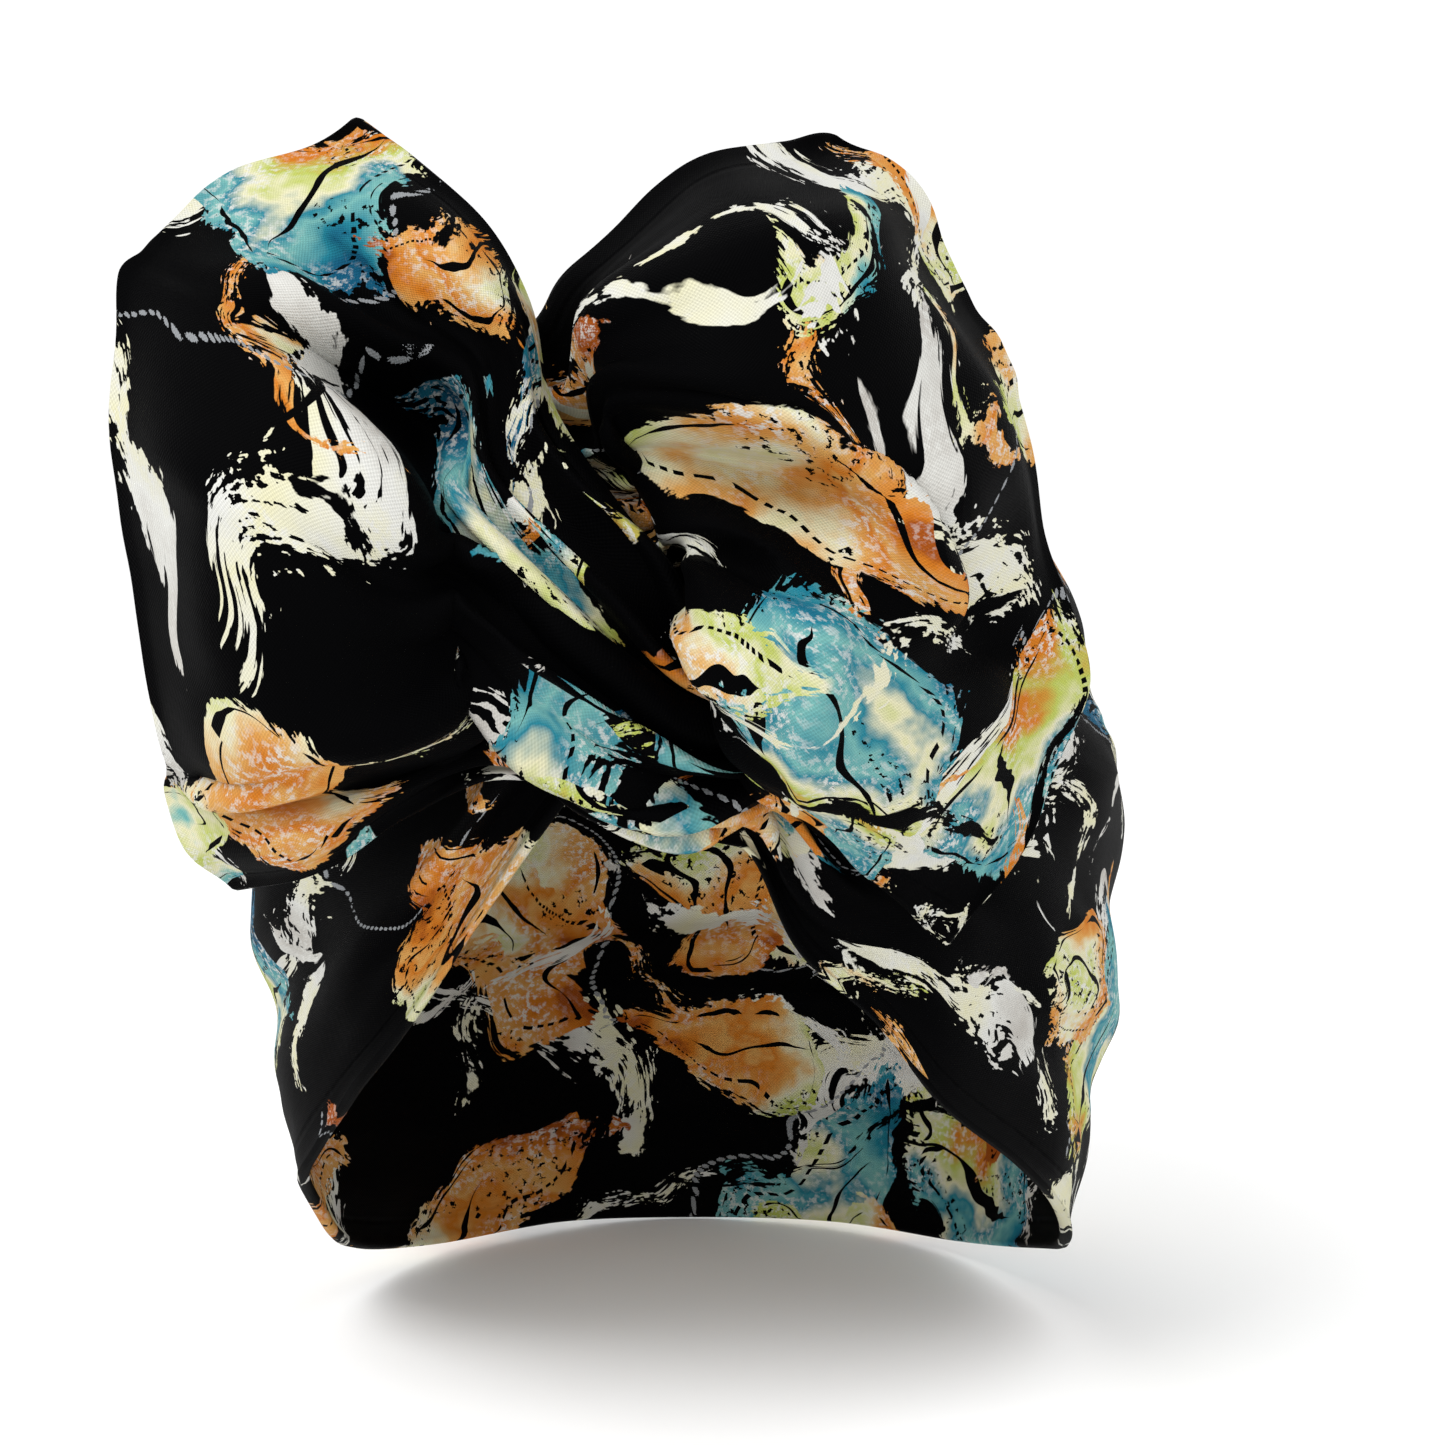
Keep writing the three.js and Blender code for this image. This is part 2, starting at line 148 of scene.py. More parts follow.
LEFT_LOBE = tuple(Fold(*row) for row in (
    ("top edge", ((-0.13, -0.2, 0.66), (-0.2, -0.3, 0.79), (-0.31, -0.45, 0.91), (-0.44, -0.75, 1.0))),
    ("back swell", ((-0.16, 0.1, 0.6), (-0.25, 0.1, 0.72), (-0.38, -0.2, 0.85), (-0.54, -0.7, 0.925))),
    ("crease", ((-0.21, 0.0, 0.56), (-0.33, -0.05, 0.66), (-0.47, -0.25, 0.76), (-0.65, -0.65, 0.85))),
    ("back panel", ((-0.25, 0.05, 0.5), (-0.37, 0.1, 0.6), (-0.55, 0.05, 0.71), (-0.76, -0.55, 0.775))),
    ("pocket", ((-0.3, -0.45, 0.42), (-0.42, -0.3, 0.51), (-0.6, 0.1, 0.63), (-0.82, -0.45, 0.75))),
    ("front rim", ((-0.3, 0.6, 0.31), (-0.43, 0.65, 0.44), (-0.61, 0.35, 0.58), (-0.86, -0.4, 0.7))),
    ("upper panel", ((-0.32, 0.6, 0.2), (-0.47, 0.8, 0.31), (-0.65, 0.55, 0.41), (-0.86, -0.35, 0.51))),
    ("middle panel", ((-0.31, 0.55, 0.11), (-0.45, 0.8, 0.16), (-0.63, 0.65, 0.21), (-0.83, -0.3, 0.26))),
    ("lower panel", ((-0.29, 0.45, 0.02), (-0.43, 0.7, -0.02), (-0.6, 0.55, -0.01), (-0.8, -0.3, 0.02))),
    ("turned fold", ((-0.26, 0.3, -0.07), (-0.4, 0.55, -0.16), (-0.58, 0.35, -0.2), (-0.77, -0.35, -0.19))),
    ("under dip", ((-0.23, 0.0, -0.13), (-0.38, 0.1, -0.2), (-0.57, 0.05, -0.24), (-0.78, -0.55, -0.25))),
    ("flap", ((-0.22, 0.0, -0.16), (-0.38, 0.15, -0.23), (-0.51, 0.2, -0.3), (-0.73, -0.45, -0.36))),
    ("low edge", ((-0.21, -0.05, -0.19), (-0.36, -0.05, -0.26), (-0.49, -0.1, -0.37), (-0.67, -0.65, -0.43))),
))
RIGHT_LOBE = tuple(Fold(*row) for row in (
    ("top edge", ((-0.04, -0.2, 0.73), (0.1, -0.2, 0.86), (0.24, -0.4, 0.93), (0.38, -0.75, 0.96))),
    ("high brow", ((-0.01, 0.2, 0.68), (0.17, 0.4, 0.8), (0.34, 0.1, 0.84), (0.46, -0.8, 0.91))),
    ("brow", ((0.0, 0.4, 0.6), (0.21, 0.75, 0.68), (0.41, 0.45, 0.75), (0.55, -0.8, 0.79))),
    ("high crest", ((-0.01, 0.4, 0.52), (0.22, 0.95, 0.53), (0.48, 0.45, 0.6), (0.62, -0.8, 0.66))),
    ("crest", ((0.0, 0.35, 0.46), (0.3, 0.9, 0.44), (0.53, 0.6, 0.41), (0.7, -0.75, 0.55))),
    ("hollow", ((0.03, 0.0, 0.39), (0.31, 0.2, 0.35), (0.57, 0.6, 0.26), (0.72, -0.7, 0.42))),
    ("swell", ((0.14, 0.25, 0.25), (0.27, 0.55, 0.23), (0.59, 0.35, 0.13), (0.75, -0.65, 0.25))),
    ("puff brow", ((0.16, 0.75, 0.16), (0.3, 0.95, 0.14), (0.58, 0.25, 0.02), (0.79, -0.6, 0.09))),
    ("puff", ((0.17, 0.9, 0.04), (0.32, 0.95, -0.01), (0.57, 0.3, -0.09), (0.83, -0.6, -0.06))),
    ("low puff", ((0.19, 0.7, -0.08), (0.32, 0.75, -0.16), (0.54, 0.25, -0.21), (0.78, -0.55, -0.2))),
    ("hem rise", ((0.22, 0.4, -0.16), (0.35, 0.4, -0.24), (0.53, 0.05, -0.33), (0.69, -0.4, -0.38))),
    ("low edge", ((0.24, 0.2, -0.21), (0.35, 0.1, -0.28), (0.47, -0.05, -0.39), (0.58, -0.25, -0.51))),
))
BAND = tuple(BandSection(*row) for row in (
    ("right of twist", 14, 32, -0.07, 0.56, 1.0),
    ("right hairline", 25, 46, -0.2, 0.64, 1.0),
    ("right brow", 34, 58, -0.34, 0.66, 1.0),
    ("right temple", 52, 74, -0.5, 0.64, 1.0),
    ("right cheek", 66, 90, -0.62, 0.62, 1.1),
    ("right ear", 84, 106, -0.76, 0.58, 1.1),
    ("behind right ear", 100, 122, -0.83, 0.55, 0.9),
    ("right nape", 128, 146, -0.91, 0.52, 0.8),
    ("right of nape", 155, 164, -0.93, 0.51, 0.8),
    ("nape", 180, 180, -0.94, 0.5, 0.8),
    ("left of nape", 205, 196, -0.93, 0.51, 0.8),
    ("left nape", 235, 215, -0.91, 0.52, 0.8),
    ("behind left ear", 264, 236, -0.8, 0.55, 1.0),
    ("left ear", 282, 252, -0.63, 0.58, 1.3),
    ("left cheek", 295, 266, -0.51, 0.62, 1.4),
    ("left temple", 307, 280, -0.38, 0.66, 1.3),
    ("left brow", 317, 294, -0.26, 0.68, 1.1),
    ("left hairline", 331, 308, -0.04, 0.66, 1.0),
))
MAIN_FOLDS = tuple(RaisedFold(*row) for row in (
    ("left rim", "left gather", "left tip", 0.42, 0.42, 0.03, -0.6),
    ("left pocket", "left gather", "left tip", 0.2, 0.2, 0.035, 0.5),
    ("left panel", "left gather", "left tip", 0.55, 0.55, 0.03, 0.7),
    ("left foot", "left gather", "left tip", 0.72, 0.72, 0.03, -0.7),
    ("strand ridge", "left neck", "front end", 0.2, 0.2, 0.05, 0.4),
    ("strand dip", "left neck", "front end", 0.32, 0.32, 0.05, -0.4),
    ("strand pipe", "left neck", "front end", 0.47, 0.47, 0.06, 0.4),
    ("strand valley", "left neck", "front end", 0.66, 0.66, 0.05, -0.6),
    ("right brow", "right gather", "right tip", 0.16, 0.16, 0.035, -0.6),
    ("right crest", "right gather", "right tip", 0.33, 0.33, 0.03, 0.7),
    ("right temple pleat", "right of twist", "right nape", 0.82, 0.82, 0.06, 0.6),
    ("right ear pleat", "right of twist", "nape", 0.56, 0.56, 0.09, 0.7),
    ("right crown pleat", "right of twist", "right nape", 0.28, 0.28, 0.09, 0.8),
    ("left temple pleat", "left nape", "left hairline", 0.78, 0.78, 0.07, 0.7),
    ("left ear pleat", "nape", "left hairline", 0.5, 0.5, 0.1, 0.6),
    ("left crown pleat", "left nape", "left hairline", 0.22, 0.22, 0.08, 0.7),
))
FIT_SHIFTS = tuple(FitShift(*row) for row in (
    ("left tip", 0.0, 0.05, (0.0, 0.0, -0.0018)),
    ("left tip", 0.17, 0.11, (-0.0026, 0.0, 0.0018)),
    ("left tip", 0.34, 0.05, (0.002, 0.0, -0.0012)),
    ("left shoulder", 0.19, 0.12, (-0.0008, 0.0, 0.001)),
    ("left tip", 0.46, 0.08, (0.003, 0.0, 0.0)),
    ("left shoulder", 0.0, 0.06, (-0.0015, 0.0, -0.0014)),
    ("left belly", 0.0, 0.06, (-0.0018, 0.0, -0.0016)),
    ("left neck", 0.0, 0.06, (-0.0018, 0.0, -0.0018)),
    ("right neck", 0.0, 0.06, (0.0012, 0.0, -0.0012)),
    ("right belly", 0.0, 0.06, (-0.0004, 0.0, 0.0008)),
    ("right tip", 0.13, 0.06, (0.002, 0.0, 0.0014)),
    ("right tip", 0.34, 0.07, (-0.0024, 0.0, 0.0)),
    ("right tip", 0.55, 0.08, (-0.001, 0.0, 0.0)),
    ("left cheek", 0.88, 0.2, (-0.0012, 0.0, 0.0)),
    ("left ear", 0.86, 0.22, (-0.0024, 0.0, 0.0)),
    ("behind left ear", 0.84, 0.22, (-0.002, 0.0, 0.0)),
))


def numbered(name: str, *rows: tuple[str | float, ...]) -> tuple[RaisedFold, ...]:
    """Makes folds of one kind and numbers them."""
    return tuple(RaisedFold(f"{name} {number}", *row) for number, row in enumerate(rows, 1))


FINE_FOLDS = (
    *numbered(
        "front groove",
        ("left belly", "right hairline", 0.09, 0.08, 0.022, -1.89, 0.2, 0.45, 0.35),
        ("left belly", "right hairline", 0.215, 0.21, 0.02, -1.89, -0.2, 0.45, 0.35),
        ("left neck", "right hairline", 0.47, 0.5, 0.022, -2.03, 0.4, 0.35, 0.35),
        ("left belly", "right hairline", 0.58, 0.61, 0.02, -1.89, 0.3, 0.45, 0.35),
        ("left neck", "right hairline", 0.69, 0.72, 0.02, -1.89, -0.3, 0.35, 0.35),
        ("left belly", "right hairline", 0.8, 0.82, 0.02, -1.74, 0.2, 0.45, 0.35),
        ("left neck", "right hairline", 0.9, 0.91, 0.018, -1.45, 0.2, 0.35, 0.35),
    ),
    *numbered(
        "pocket pipe",
        ("left belly", "left gather", 0.29, 0.3, 0.02, 1.0, -0.5, 0.5, 0.3),
        ("left shoulder", "left gather", 0.355, 0.36, 0.016, 0.7, 0.4, 0.5, 0.3),
    ),
    *numbered(
        "back groove",
        ("left brow", "right belly", 0.12, 0.14, 0.022, -1.89, 0.2, 0.3, 0.45),
        ("left brow", "right belly", 0.26, 0.26, 0.022, -2.03, 0.3, 0.3, 0.45),
        ("left brow", "right neck", 0.4, 0.42, 0.02, -2.03, -0.3, 0.3, 0.35),
        ("left brow", "right belly", 0.55, 0.54, 0.022, -2.03, 0.2, 0.3, 0.45),
        ("left brow", "right belly", 0.7, 0.72, 0.022, -1.89, 0.3, 0.3, 0.45),
        ("left brow", "right neck", 0.86, 0.86, 0.02, -1.74, 0.2, 0.3, 0.35),
    ),
    *numbered(
        "right hairline pleat",
        ("front end", "right temple", 0.16, 0.14, 0.035, 0.6, 0.4, 0.3, 0.6),
        ("front end", "right cheek", 0.42, 0.4, 0.03, 0.8, 0.5, 0.3, 0.7),
        ("front end", "right temple", 0.68, 0.7, 0.03, 0.7, 0.4, 0.3, 0.7),
    ),
    *numbered(
        "nape fold",
        ("right temple", "left ear", 0.2, 0.34, 0.03, 0.55, 0.5, 0.45, 0.4),
        ("right cheek", "left cheek", 0.42, 0.3, 0.026, -0.6, 0.4, 0.4, 0.5),
        ("right ear", "left temple", 0.5, 0.62, 0.034, 0.75, 0.6, 0.5, 0.4),
        ("right brow", "left ear", 0.74, 0.66, 0.028, -0.6, 0.4, 0.5, 0.5),
        ("right cheek", "left cheek", 0.8, 0.86, 0.03, 0.6, 0.5, 0.4, 0.4),
        ("behind right ear", "left cheek", 0.1, 0.16, 0.026, -0.5, 0.3, 0.5, 0.5),
    ),
    *numbered(
        "left hairline pleat",
        ("left temple", "back start", 0.14, 0.16, 0.035, 0.6, 0.4, 0.6, 0.3),
        ("left cheek", "back start", 0.36, 0.38, 0.03, 0.8, 0.5, 0.7, 0.3),
        ("left cheek", "back start", 0.64, 0.62, 0.03, 0.8, -0.4, 0.7, 0.3),
    ),
    RaisedFold("front piping", "left neck", "front leaving", 0.165, 0.16, 0.012, 0.7, 0.3, 0.35, 0.3),
    RaisedFold("right hem pleat", "front end", "right brow", 0.9, 0.93, 0.025, 0.5, 0.4, 0.3, 0.6),
    RaisedFold("left hem pleat", "left temple", "back start", 0.88, 0.87, 0.025, 0.5, 0.3, 0.6, 0.3),
)
RIDGE, STEP = CreaseKind.RIDGE, CreaseKind.STEP
CREASES = (
    Crease("right arc", STEP,
           ((4.27, 0.355), (4.36, 0.385), (4.42, 0.44), (4.45, 0.52), (4.44, 0.6), (4.4, 0.67)),
           0.003, 0.016, -0.0048, 0.5),
    Crease("right streak ridge", RIDGE,
           ((4.38, 0.3), (4.43, 0.4), (4.5, 0.56), (4.57, 0.7), (4.6, 0.8)), 0.006, 0.02, 0.004),
    Crease("right outer dip", RIDGE,
           ((4.5, 0.2), (4.56, 0.36), (4.6, 0.5), (4.62, 0.64)), 0.007, 0.02, -0.003),
    Crease("right puff side", RIDGE,
           ((4.33, 0.6), (4.31, 0.7), (4.29, 0.8), (4.28, 0.92)), 0.003, 0.01, -0.004),
    Crease("right puff top", STEP,
           ((4.14, 0.6), (4.2, 0.565), (4.27, 0.575), (4.33, 0.63)), 0.002, 0.012, 0.004, -0.5),
    Crease("right hem line", RIDGE, ((4.36, 0.66), (4.4, 0.78), (4.42, 0.9)), 0.004, 0.012, -0.0025),
    Crease("left crease line", STEP,
           ((0.12, 0.165), (0.2, 0.168), (0.26, 0.17), (0.33, 0.175)), 0.0014, 0.008, 0.0018, -0.4),
    Crease("left panel line", RIDGE,
           ((0.02, 0.52), (0.14, 0.53), (0.26, 0.56), (0.36, 0.62)), 0.004, 0.016, -0.0022),
    Crease("left foot line", STEP,
           ((0.01, 0.8), (0.1, 0.775), (0.2, 0.765), (0.3, 0.8)), 0.0016, 0.01, -0.003, 0.5),
)


@dataclass
class Hollow:
    """The space that the wrap closes round, measured from the origin."""

    half_width: float = 0.076
    half_length: float = 0.096
    crown: float = 0.107
    neck_taper: float = 0.1

    def place(self, share: Share3) -> np.ndarray:
        """Turns (across, front, up) shares into a place in space."""
        return np.array([share[0] * self.half_width, -share[1] * self.half_length, share[2] * self.crown])

    def outside(self, turn: np.ndarray, height: np.ndarray, ease: np.ndarray) -> np.ndarray:
        """Finds places outside the hollow.

        Args:
            turn: Turns from the front, in degrees.
            height: Heights in metres.
            ease: Distances outside the hollow, in metres.

        Returns:
            An array of places, one row for each turn.
        """
        share = height / self.crown
        girth = np.where(share > 0, np.sqrt(np.clip(1 - share**2, 0, 1)), 1 - self.neck_taper * share**2)
        angle = np.radians(turn)
        across = np.sin(angle) * (self.half_width * girth + ease)
        front = -np.cos(angle) * (self.half_length * girth + ease)
        return np.stack([across, front, height], axis=-1)


@dataclass
class LobeSpan:
    """The reach, depth and rise of the lobes, and the middle of the twist in shares of the hollow."""

    reach: float = 0.100
    depth: float = 0.034
    rise: float = 0.094
    twist: Share3 = (-0.18, 1.08, 0.39)

    def place(self, hollow: Hollow, share: Share3) -> np.ndarray:
        """Turns (across, forward, up) shares from the twist into a place in space."""
        offset = np.array([share[0] * self.reach, -share[1] * self.depth, share[2] * self.rise])
        return hollow.place(self.twist) + offset


TINY, TINY_SQUARE = 1e-12, 1e-14


def smooth_line(points: np.ndarray, at: np.ndarray) -> np.ndarray:
    """Evaluates the centripetal curve through some points.

    Args:
        points: Points along the first axis, with any shape behind it.
        at: Places on the curve, counted in points.

    Returns:
        The places, with one entry for each value of `at` along the first axis.
    """
    last = len(points) - 1
    index = np.clip(np.floor(at).astype(int), 0, last - 1)
    before = np.concatenate([2 * points[:1] - points[1:2], points[:-1]])
    after = np.concatenate([points[1:], 2 * points[-1:] - points[-2:-1]])
    p0, p1, p2, p3 = before[index], points[index], points[index + 1], after[index + 1]

    def knot(a: np.ndarray, b: np.ndarray) -> np.ndarray:
        """Gives the spacing of two knots, the root of their distance."""
        return np.maximum(((b - a) ** 2).sum(-1, keepdims=True), TINY_SQUARE) ** 0.25

    d0, d1, d2 = knot(p0, p1), knot(p1, p2), knot(p2, p3)
    t1 = ((p1 - p0) / d0 - (p2 - p0) / (d0 + d1) + (p2 - p1) / d1) * d1
    t2 = ((p2 - p1) / d1 - (p3 - p1) / (d1 + d2) + (p3 - p2) / d2) * d1
    t = (at - index).reshape((-1,) + (1,) * (points.ndim - 1))
    return p1 + t * t1 + t**2 * (-3 * p1 + 3 * p2 - 2 * t1 - t2) + t**3 * (2 * p1 - 2 * p2 + t1 + t2)


def smooth_step(values: np.ndarray) -> np.ndarray:
    """Rises smoothly from 0 at 0 to 1 at 1."""
    t = np.clip(values, 0, 1)
    return t * t * (3 - 2 * t)


def unit(vectors: np.ndarray) -> np.ndarray:
    """Scales vectors along the last axis to a length of 1."""
    return vectors / np.maximum(np.linalg.norm(vectors, axis=-1, keepdims=True), TINY)


@dataclass
class SoftRipple:
    """Seeded smooth noise over the flat strip, as a sum of waves with random directions and phases."""

    seed: int
    shortest: float
    longest: float
    along_stretch: float = 1.0
    waves: int = 48

    def at(self, across: np.ndarray, along: np.ndarray) -> np.ndarray:
        """Gives the ripple at flat places in metres, of about unit strength."""
        rng = np.random.default_rng(self.seed)
        total = np.zeros(np.broadcast(across, along).shape)
        for _ in range(self.waves):
            length = math.exp(rng.uniform(math.log(self.shortest), math.log(self.longest)))
            angle = rng.uniform(0, math.pi)
            phase = rng.uniform(0, 2 * math.pi)
            wave = (math.cos(angle) * across + math.sin(angle) * along / self.along_stretch) / length
            total = total + np.sin(2 * math.pi * wave + phase)
        return total / math.sqrt(self.waves / 2)


@dataclass(frozen=True)
class GatherWrinkles:
    """Small seeded wrinkles that run out of a gather into a lobe and die away in it."""

    lobe: str
    seed: int
    start: str
    end: str
    rise: float
    fall: float
    count: int = 14
    places: tuple[float, float] = (0.3, 0.7)
    drift: float = 0.03
    widths: tuple[float, float] = (0.011, 0.02)
    heights: tuple[float, float] = (0.3, 0.7)
    leans: tuple[float, float] = (-0.4, 0.4)

    def folds(self) -> tuple[RaisedFold, ...]:
        """Lists the wrinkles as raised folds, ridges and grooves by turns."""
        rng = np.random.default_rng(self.seed)
        made = []
        for number in range(self.count):
            at = (number + rng.uniform(*self.places)) / self.count
            at_end = at + rng.normal(0, self.drift)
            width = rng.uniform(*self.widths)
            height = rng.uniform(*self.heights) * (1 if number % 2 else -1)
            sizes = (at, at_end, width, height, rng.uniform(*self.leans), self.rise, self.fall)
            made.append(RaisedFold(f"{self.lobe} wrinkle {number + 1}", self.start, self.end, *sizes))
        return tuple(made)


WRINKLES = (
    GatherWrinkles("left", 5, "left shoulder", "front leaving", 0.62, 0.3),
    GatherWrinkles("right", 8, "back crossing", "right shoulder", 0.3, 0.62),
)


LONG_WAVE = SoftRipple(7, 0.022, 0.06, along_stretch=1.8)
SHORT_WAVE = SoftRipple(19, 0.008, 0.02, along_stretch=2.6)
CALM_PATCHES = SoftRipple(31, 0.05, 0.12)
LOBE_PARTS = ("neck", "belly", "shoulder", "tip")
SEAMS = ("left tip", "left gather", "front end", "back start", "right gather", "right tip")


@dataclass
class WrapForm:
    """The middle surface of the whole strip, from its free end in the left lobe to that in the right one."""

    hollow: Hollow = field(default_factory=Hollow)
    lobes: LobeSpan = field(default_factory=LobeSpan)
    ease: float = 0.009
    edge_ease: float = 0.3
    pleat_height: float = 0.005
    long_ripple: float = 0.0006
    short_ripple: float = 0.00028
    crease_steps: int = 12
    crease_fade: float = 0.3
    crease_margin: float = 3.0
    calm_share: float = 0.6
    relax_rounds: int = 3
    settling: float = 0.25
    guide_steps: int = 40
    guide_skip: int = 10
    flat_width: float = 0.18
    cell: float = 0.0018
    cells_across: int = 120

    def __post_init__(self) -> None:
        """Lists the sections of the strip and works out its grid."""
        self.shares = np.linspace(0, 1, self.cells_across + 1)
        lobe, strand = partial(self.lobes.place, self.hollow), self.hollow.place
        left, right = ([f"{side} {part}" for part in LOBE_PARTS] for side in ("left", "right"))
        front = ["left gather", "front crossing", "front leaving", "front end"]
        back = ["back start", "back crossing", "back leaving", "right gather"]
        sections = {
            **dict(list(self._table_sections(LEFT_LOBE, lobe, left).items())[::-1]),
            **self._table_sections(FRONT_STRAND, strand, front),
            **{row.section: self._band_section(row) for row in BAND},
            **self._table_sections(BACK_STRAND, strand, back),
            **self._table_sections(RIGHT_LOBE, lobe, right),
        }
        self.names = list(sections)
        self.sections = np.stack(list(sections.values()))
        for fit in FIT_SHIFTS:
            fade = np.exp(-(((self.shares - fit.share) / fit.spread) ** 2))
            self.sections[self.station(fit.section)] += fade[:, None] * np.array(fit.shift)
        self.stations = self._even_stations(SEAMS)

    def _table_sections(
        self, rows: tuple[Fold, ...], place: Callable[[Share3], np.ndarray], names: list[str]
    ) -> dict[str, np.ndarray]:
        """Draws smooth sections through the rows of a table.

        Args:
            rows: The folds of a strand or a lobe.
            place: Turns shares into a place in space.
            names: Names of the four sections, in the table's order.

        Returns:
            The sections by name.
        """
        at = self.shares * (len(rows) - 1)
        columns = zip(*([place(share) for share in row.places] for row in rows))
        return {name: smooth_line(np.stack(column), at) for name, column in zip(names, columns)}

    def _band_section(self, row: BandSection) -> np.ndarray:
        """Gives one section of the band."""
        turn = row.high_turn + (row.low_turn - row.high_turn) * self.shares
        height = (row.high + (row.low - row.high) * self.shares) * self.hollow.crown
        swell = self.edge_ease + (1 - self.edge_ease) * np.sin(math.pi * self.shares)
        return self.hollow.outside(turn, height, row.ease * self.ease * swell)

    def station(self, name: str) -> int:
        """Finds the place of a section in the strip."""
        return self.names.index(name)

    def _even_stations(self, seams: tuple[str, ...]) -> np.ndarray:
        """Spaces the cells evenly along the strip between its seams."""
        last = len(self.names) - 1
        fine = np.linspace(0, last, last * self.guide_steps + 1)
        lines = smooth_line(self.sections[:, ::self.guide_skip], fine)
        run = np.concatenate([[0], np.linalg.norm(np.diff(lines, axis=0), axis=-1).mean(1).cumsum()])
        self.seam_columns: dict[str, int] = {seams[0]: 0}
        stations = [np.zeros(1)]
        for first, last in zip(seams, seams[1:]):
            start, end = np.interp([self.station(first), self.station(last)], fine, run)
            steps = max(2, round((end - start) / self.cell))
            stations.append(np.interp(np.linspace(start, end, steps + 1)[1:], run, fine))
            self.seam_columns[last] = self.seam_columns[first] + steps
        return np.concatenate(stations)

    def middle(self) -> np.ndarray:
        """Gives the smooth middle surface, before any raised fold, as (share, station) places."""
        return smooth_line(self.sections, self.stations).transpose(1, 0, 2)

    @staticmethod
    def frames(points: np.ndarray) -> tuple[np.ndarray, np.ndarray, np.ndarray]:
        """Gives the directions across and along the strip and outwards from it at each place."""
        across = np.gradient(points, axis=0)
        along = np.gradient(points, axis=1)
        return unit(across), unit(along), unit(np.cross(along, across))

    def raise_folds(self, points: np.ndarray, folds: tuple[RaisedFold, ...]) -> np.ndarray:
        """Raises folds on the surface.

        Args:
            points: The surface, as (share, station) places.
            folds: The folds to raise.

        Returns:
            The surface with the folds on it.
        """
        across, _, outward = self.frames(points)
        share = self.shares[:, None]
        lift = np.zeros(points.shape[:2])
        slide = np.zeros(points.shape[:2])
        for fold in folds:
            first = self.station(fold.start)
            run = (self.stations - first) / (self.station(fold.end) - first)
            if (fold.rise, fold.fall) == (0.5, 0.5):
                growth = np.where((run > 0) & (run < 1), np.sin(math.pi * np.clip(run, 0, 1)) ** 2, 0)
            else:
                growth = smooth_step(run / fold.rise) * smooth_step((1 - run) / fold.fall)
            at = fold.at + (fold.at_end - fold.at) * np.clip(run, 0, 1)
            profile = np.exp(-(((share - at[None]) / fold.width) ** 2)) * growth[None]
            profile = profile * fold.height * self.pleat_height
            lift += profile
            slide += profile * fold.lean
        return points + lift[..., None] * outward + slide[..., None] * across

    def runs(self, points: np.ndarray) -> np.ndarray:
        """Gives the run from the left free end of each column, in metres."""
        steps = np.linalg.norm(np.diff(points, axis=1), axis=-1).mean(0)
        return np.concatenate([[0], steps.cumsum()])

    def press_creases(self, points: np.ndarray, creases: tuple[Crease, ...], run: np.ndarray) -> np.ndarray:
        """Presses creases into the surface.

        Args:
            points: The surface, as (share, station) places.
            creases: The creases to press.
            run: The run of each column, in metres.

        Returns:
            The surface with the creases in it.
        """
        across, _, outward = self.frames(points)
        flat = np.stack(np.broadcast_arrays(run[None], self.shares[:, None] * self.flat_width), axis=-1)
        lift = np.zeros(points.shape[:2])
        slide = np.zeros(points.shape[:2])
        for crease in creases:
            knots = np.array(crease.path) * self.flat_width
            line = smooth_line(knots, np.linspace(0, len(knots) - 1, self.crease_steps * len(knots)))
            reach = np.ptp(line, axis=0).max() + self.crease_margin * crease.reach
            near = np.abs(flat - line.mean(0)).max(-1) < reach
            gap = flat[near][:, None] - line[None]
            nearest = np.linalg.norm(gap, axis=-1).argmin(1)
            heading = unit(np.gradient(line, axis=0))[nearest]
            offset = np.take_along_axis(gap, nearest[:, None, None], axis=1)[:, 0]
            aside = heading[:, 0] * offset[:, 1] - heading[:, 1] * offset[:, 0]
            beyond = np.abs((heading * offset).sum(-1))
            place = nearest / (len(line) - 1)
            growth = smooth_step(place / self.crease_fade) * smooth_step((1 - place) / self.crease_fade)
            growth = growth * np.exp(-((beyond / crease.reach) ** 2))
            if crease.kind is CreaseKind.RIDGE:
                profile = np.exp(-((aside / crease.sharp) ** 2))
            else:
                profile = np.tanh(aside / crease.sharp) * np.exp(-((aside / crease.reach) ** 2))
            lift[near] += profile * growth * crease.height
            slide[near] += profile * growth * crease.height * crease.lean
        return points + lift[..., None] * outward + slide[..., None] * across

    def ripple(self, points: np.ndarray, run: np.ndarray) -> np.ndarray:
        """Adds the small uneven waves of soft cotton.

        Args:
            points: The surface, as (share, station) places.
            run: The run of each column, in metres.

        Returns:
            The surface with small waves on it.
        """
        _, _, outward = self.frames(points)
        across = self.shares[:, None] * self.flat_width
        along = run[None]
        calm = smooth_step(CALM_PATCHES.at(across, along) * self.calm_share + 1 - self.calm_share)
        lift = self.long_ripple * LONG_WAVE.at(across, along)
        lift = lift + self.short_ripple * SHORT_WAVE.at(across, along) * calm
        return points + lift[..., None] * outward

